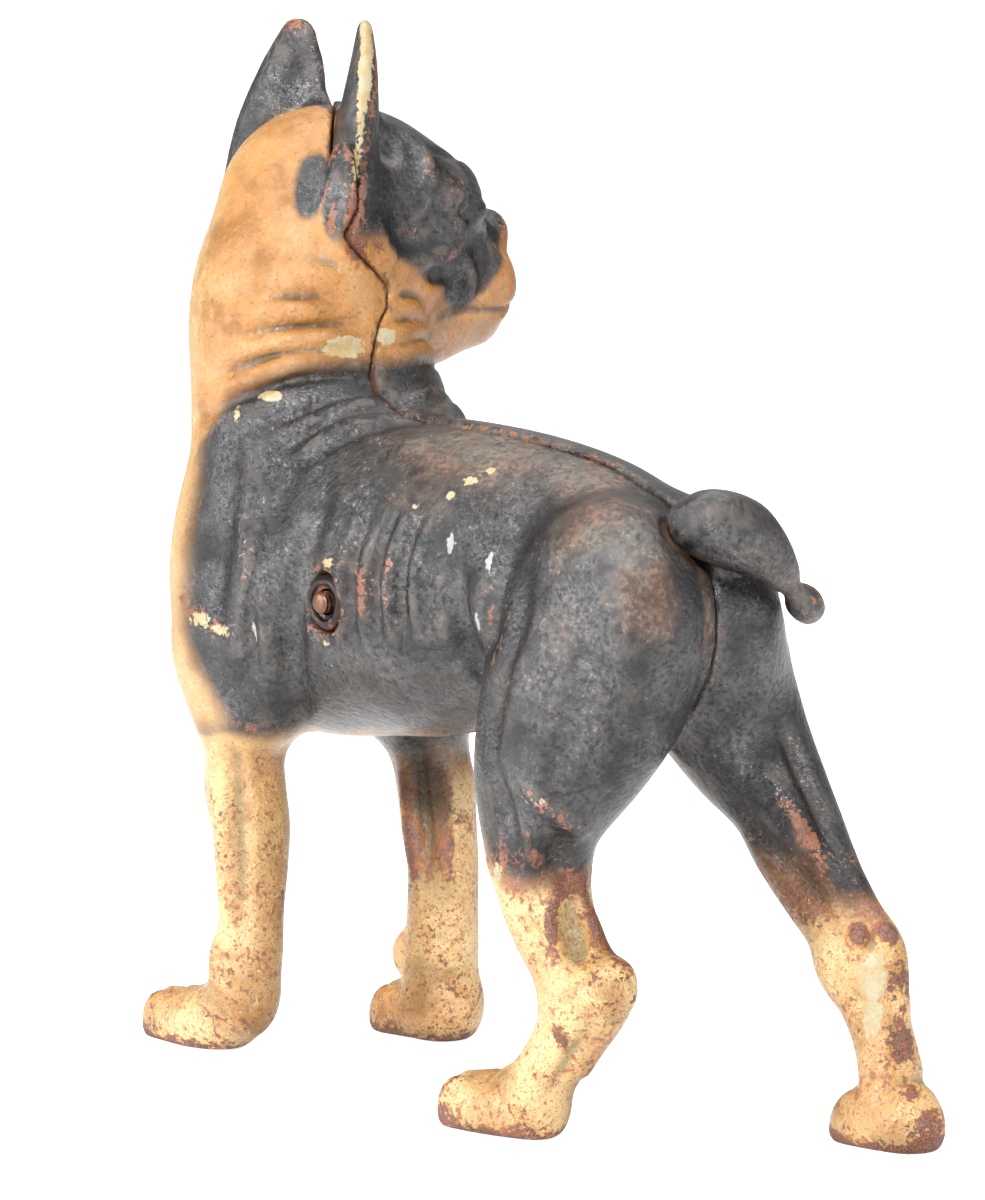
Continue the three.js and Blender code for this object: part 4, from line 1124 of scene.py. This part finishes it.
def worn_steel(name, bright, dark, rust_share):
    """Turned steel, tarnished, with rust in its hollows."""
    g = Graph(name)
    fine = g.noise(2200.0, 5.0, 0.6)
    middle = g.noise(600.0, 4.0, 0.6)
    spots = middle.step(0.62 - rust_share, 0.72 - rust_share)
    tone = g.mix(spots, g.mix(fine, bright, dark), srgb(104, 62, 42))
    g.look(Base_Color=tone, Metallic=0.9 - 0.7 * spots, Roughness=0.32 + 0.35 * spots + 0.15 * fine)
    g.bump(((fine, 0.00006), (middle, 0.00010)))
    return g.material


# ---------------------------------------------------------------- screw and nut


def about_screw(profile, sides, wobble=None):
    """Vertices and quads of a profile of (radius, y) turned about the screw's line."""
    rings = []
    angles = np.arange(sides) * 2 * math.pi / sides
    for radius, y in profile:
        radii = np.full(sides, radius) if wobble is None else wobble(radius, y, angles)
        across, up = SCREW_X + radii * np.cos(angles), SCREW_Z + radii * np.sin(angles)
        rings.append(np.stack([across, np.full(sides, y), up], 1))
    vertices = np.concatenate(rings)
    quads = []
    for i in range(len(profile) - 1):
        for n in range(sides):
            m = (n + 1) % sides
            quads.append((i * sides + n, i * sides + m, (i + 1) * sides + m, (i + 1) * sides + n))
    return vertices, np.array(quads)


def rounded_profile(points, steps=3):
    """A turned profile with each inner corner eased."""
    points = [np.array(p, float) for p in points]
    line = [points[0]]
    for a, b, c in zip(points[:-2], points[1:-1], points[2:]):
        ease = min(0.18, 0.45 * np.linalg.norm(b - a), 0.45 * np.linalg.norm(c - b))
        start, end = b + unit(a - b) * ease, b + unit(c - b) * ease
        for t in np.linspace(0, 1, steps + 1):
            line.append((1 - t) ** 2 * start + 2 * t * (1 - t) * b + t**2 * end)
    line.append(points[-1])
    return [tuple(p) for p in line]


def make_screw(material):
    """Round-head screw with a driver slot across its head and a thread along its shank."""
    seat = -(RECESS_FLOOR + FIT_GAP)
    crown = seat - HEAD_HEIGHT
    end = RECESS_FLOOR + FIT_GAP + NUT_THICKNESS + NUB_PROUD
    sides = 72
    slot_half, slot_depth = 0.45, 1.1
    bends = np.linspace(0.02, math.pi / 2, 22)
    dome = [(HEAD_RADIUS * math.sin(a), crown + 1.9 * (1 - math.cos(a))) for a in bends]
    head_profile = dome + [(HEAD_RADIUS, seat - 0.12), (HEAD_RADIUS - 0.12, seat),
                           (SHANK_RADIUS - 0.15, seat)]
    pitch, crest, plain_shank = 0.7, 0.16, 3.0
    rows = np.arange(seat + 0.02, end - 0.3, pitch / 6)

    def thread(radius, y, angles):
        if y < seat + plain_shank or radius < SHANK_RADIUS - 0.16 or radius > SHANK_RADIUS:
            return np.full(len(angles), radius)
        turn = (y / pitch + angles / (2 * math.pi)) % 1.0
        return radius - crest * np.abs(2 * turn - 1)

    shank = [(SHANK_RADIUS - 0.15, seat + 0.01)] + [(SHANK_RADIUS, y) for y in rows]
    shank += [(SHANK_RADIUS - 0.2, end - 0.15), (SHANK_RADIUS - 0.45, end), (0.35, end + 0.04),
              (0.02, end + 0.04)]
    vertices, quads = about_screw(head_profile + shank, sides, thread)
    in_slot = (np.abs(vertices[:, 2] - SCREW_Z) < slot_half) & (vertices[:, 1] < crown + slot_depth)
    vertices[in_slot, 1] = crown + slot_depth
    near = (np.abs(np.abs(vertices[:, 2] - SCREW_Z) - slot_half) < 0.12) & (vertices[:,
                                                                                     1] < crown + slot_depth)
    vertices[near, 2] = SCREW_Z + np.sign(vertices[near, 2] - SCREW_Z) * (slot_half + 0.02)
    caps = np.array([[n, (n + 1) % sides] for n in range(sides)])
    first, last = len(vertices), len(vertices) + 1
    tip = vertices[-sides:].mean(0)
    vertices = np.vstack([vertices, [SCREW_X, crown + slot_depth, SCREW_Z], tip])
    offset = first - sides
    ends = [(first, b, a, a) for a, b in caps] + [(last, offset + a, offset + b, offset + b) for a, b in caps]
    return finish_turned("through_screw", vertices, quads, ends, material, "clamp_screw", "screw")


SHARP_ANGLE = 38.0  # edges that bend more than this stay sharp


def finish_turned(name, vertices, quads, ends, material, node, body):
    mesh = bpy.data.meshes.new(name)
    faces = [tuple(q) for q in quads] + [tuple(dict.fromkeys(e)) for e in ends]
    places = [tuple((v + SHIFT) * MM) for v in vertices]
    mesh.from_pydata(places, [], [tuple(int(i) for i in f) for f in faces])
    mesh.update()
    thing = bpy.data.objects.new(name, mesh)
    bpy.context.scene.collection.objects.link(thing)
    work = bmesh.new()
    work.from_mesh(mesh)
    bmesh.ops.recalc_face_normals(work, faces=work.faces)
    for face in work.faces:
        face.smooth = True
    for edge in work.edges:
        if len(edge.link_faces) == 2 and edge.calc_face_angle(0) > math.radians(SHARP_ANGLE):
            edge.smooth = False
    work.to_mesh(mesh)
    work.free()
    mesh.materials.append(material)
    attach(thing, body)
    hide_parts(node)
    return thing


def make_nut(material):
    """Round nut with a dished face, a rolled rim and a threaded hole."""
    inner = SHANK_RADIUS + FIT_GAP
    seat = RECESS_FLOOR + FIT_GAP
    face = seat + NUT_THICKNESS
    profile = [(inner, seat), (NUT_RADIUS, seat), (NUT_RADIUS, face - 0.55), (NUT_RADIUS - 0.65, face),
               (NUT_RADIUS - 1.1, face - 0.12), (inner + 0.45, face - 0.6), (inner, face - 0.75)]
    inside = [(inner + 0.12 * (i % 2), y) for i, y in enumerate(np.linspace(face - 0.8, seat + 0.05, 9))]
    line = rounded_profile(profile) + inside
    sides = 64

    def uneven(radius, y, angles):
        return radius + (0.04 * np.sin(3 * angles + 0.8) + 0.03 * np.sin(7 * angles)) * (radius > inner + 0.4)

    vertices, quads = about_screw(line + [line[0]], sides, uneven)
    last = len(line) * sides
    quads = np.where(quads >= last, quads - last, quads)
    return finish_turned("dished_nut", vertices[:last], quads, [], material, "round_nut", "nut")


# ---------------------------------------------------------------- studio


FLOOR_GLOW = 0.85
WORLD_LIGHT = 0.2
WORLD_SEEN = 0.8  # added for what the camera sees beyond the sweep

# Each light's steps from the bank's middle along the look, to the right and up, its size in metres
# and its power in watts.
STUDIO_MIDDLE = Vector((0, 0, 0.07))
LIGHTS = {
    "front": ((-1.1, -0.3, 0.55), (0.12, 0.12), 27),
    "left_strip": ((-0.2, -1.1, 0.35), (0.12, 0.7), 17),
    "right_strip": ((-0.5, 1.0, 0.5), (0.2, 0.8), 9),
    "top": ((0.25, 0.0, 1.2), (0.8, 0.8), 17),
}


def make_floor():
    """A pale sweep that rises far behind the bank."""
    mesh = bpy.data.meshes.new("studio_sweep")
    half, near, depth, rise, rows = 3.0, -3.0, 1.6, 2.4, 24
    verts, faces = [], []
    away = Vector((math.sin(math.radians(LOOK_AZIMUTH)), -math.cos(math.radians(LOOK_AZIMUTH)), 0))
    side = Vector((-away.y, away.x, 0))
    path = [(near, 0.0), (depth, 0.0)]
    for a in np.linspace(0.06, math.pi / 2, rows):
        path.append((depth + rise * math.sin(a) * 0.5, rise * 0.5 * (1 - math.cos(a))))
    path.append((depth + rise * 0.5, rise * 1.6))
    for forward, height in path:
        for across in (-half, half):
            verts.append(away * forward + side * across + Vector((0, 0, height)))
    for i in range(len(path) - 1):
        faces.append((2 * i, 2 * i + 1, 2 * i + 3, 2 * i + 2))
    mesh.from_pydata([tuple(v) for v in verts], [], faces)
    for polygon in mesh.polygons:
        polygon.use_smooth = True
    floor = bpy.data.objects.new("studio_sweep", mesh)
    bpy.context.scene.collection.objects.link(floor)
    g = Graph("studio_white")
    seen = Value(g, g.node("LightPath").outputs["Is Camera Ray"])
    g.look(Base_Color=(0.92, 0.92, 0.92), Roughness=0.45, Emission_Color=(1.0, 1.0, 1.0))
    g.look(Emission_Strength=FLOOR_GLOW * seen)  # seen as lit from behind, like a light table
    mesh.materials.append(g.material)


def add_light(name, place, size, power):
    light = bpy.data.lights.new(name, "AREA")
    light.shape = "RECTANGLE"
    light.size, light.size_y = size
    light.energy = power
    lamp = bpy.data.objects.new(name, light)
    bpy.context.scene.collection.objects.link(lamp)
    lamp.location = place
    lamp.rotation_euler = (STUDIO_MIDDLE - place).to_track_quat("-Z", "Y").to_euler()


LOOK_AZIMUTH = 47.418  # the way the camera looks, from -Y towards +X
LOOK_DOWN = 6.186
CAMERA_PLACE = np.array([-391.9, 383.6, 122.5])  # in the design frame
SENSOR_MM = 36.0
LENS_MM = 138.174


def make_camera():
    a, p = math.radians(LOOK_AZIMUTH), math.radians(LOOK_DOWN)
    level = Vector((math.sin(a), -math.cos(a), 0))
    look = level * math.cos(p) - Vector((0, 0, 1)) * math.sin(p)
    right = Vector((-math.cos(a), -math.sin(a), 0))
    up = right.cross(look)
    camera_data = bpy.data.cameras.new("camera")
    camera_data.sensor_width = SENSOR_MM
    camera_data.sensor_height = SENSOR_MM
    camera_data.lens = LENS_MM
    camera_data.clip_start = 0.01
    camera_data.clip_end = 50.0
    camera = bpy.data.objects.new("camera", camera_data)
    bpy.context.scene.collection.objects.link(camera)
    turn = Matrix((right, up, -look)).transposed().to_4x4()
    camera.matrix_world = Matrix.Translation(Vector((CAMERA_PLACE + SHIFT) * MM)) @ turn
    bpy.context.scene.camera = camera
    return right, look


def make_studio():
    right, look = make_camera()
    make_floor()
    world = bpy.data.worlds.new("studio")
    bpy.context.scene.world = world
    world.use_nodes = True
    bpy.context.scene.view_settings.view_transform = "Standard"
    world.node_tree.nodes["Background"].inputs[0].default_value = (1, 1, 1, 1)
    seen = world.node_tree.nodes.new("ShaderNodeLightPath").outputs["Is Camera Ray"]
    lit = world.node_tree.nodes.new("ShaderNodeMath")
    lit.operation = "MULTIPLY_ADD"
    lit.inputs[1].default_value = WORLD_SEEN
    lit.inputs[2].default_value = WORLD_LIGHT
    world.node_tree.links.new(seen, lit.inputs[0])
    world.node_tree.links.new(lit.outputs[0], world.node_tree.nodes["Background"].inputs[1])
    for name, ((along, across, up), size, power) in LIGHTS.items():
        place = STUDIO_MIDDLE + look * along + right * across + Vector((0, 0, up))
        add_light(name, place, size, power)


# ---------------------------------------------------------------- assembly

make_studio()
body, core = model_dog(STEP)
iron = painted_iron()
make_half("left_casting", "left_half", "left_shell", body, core, 1, iron)
make_half("right_casting", "right_half", "right_shell", body, core, -1, iron)
make_screw(worn_steel("tarnished_steel", srgb(118, 84, 66), srgb(78, 60, 52), 0.06))
make_nut(worn_steel("rusted_steel", srgb(66, 56, 52), srgb(34, 30, 30), 0.04))
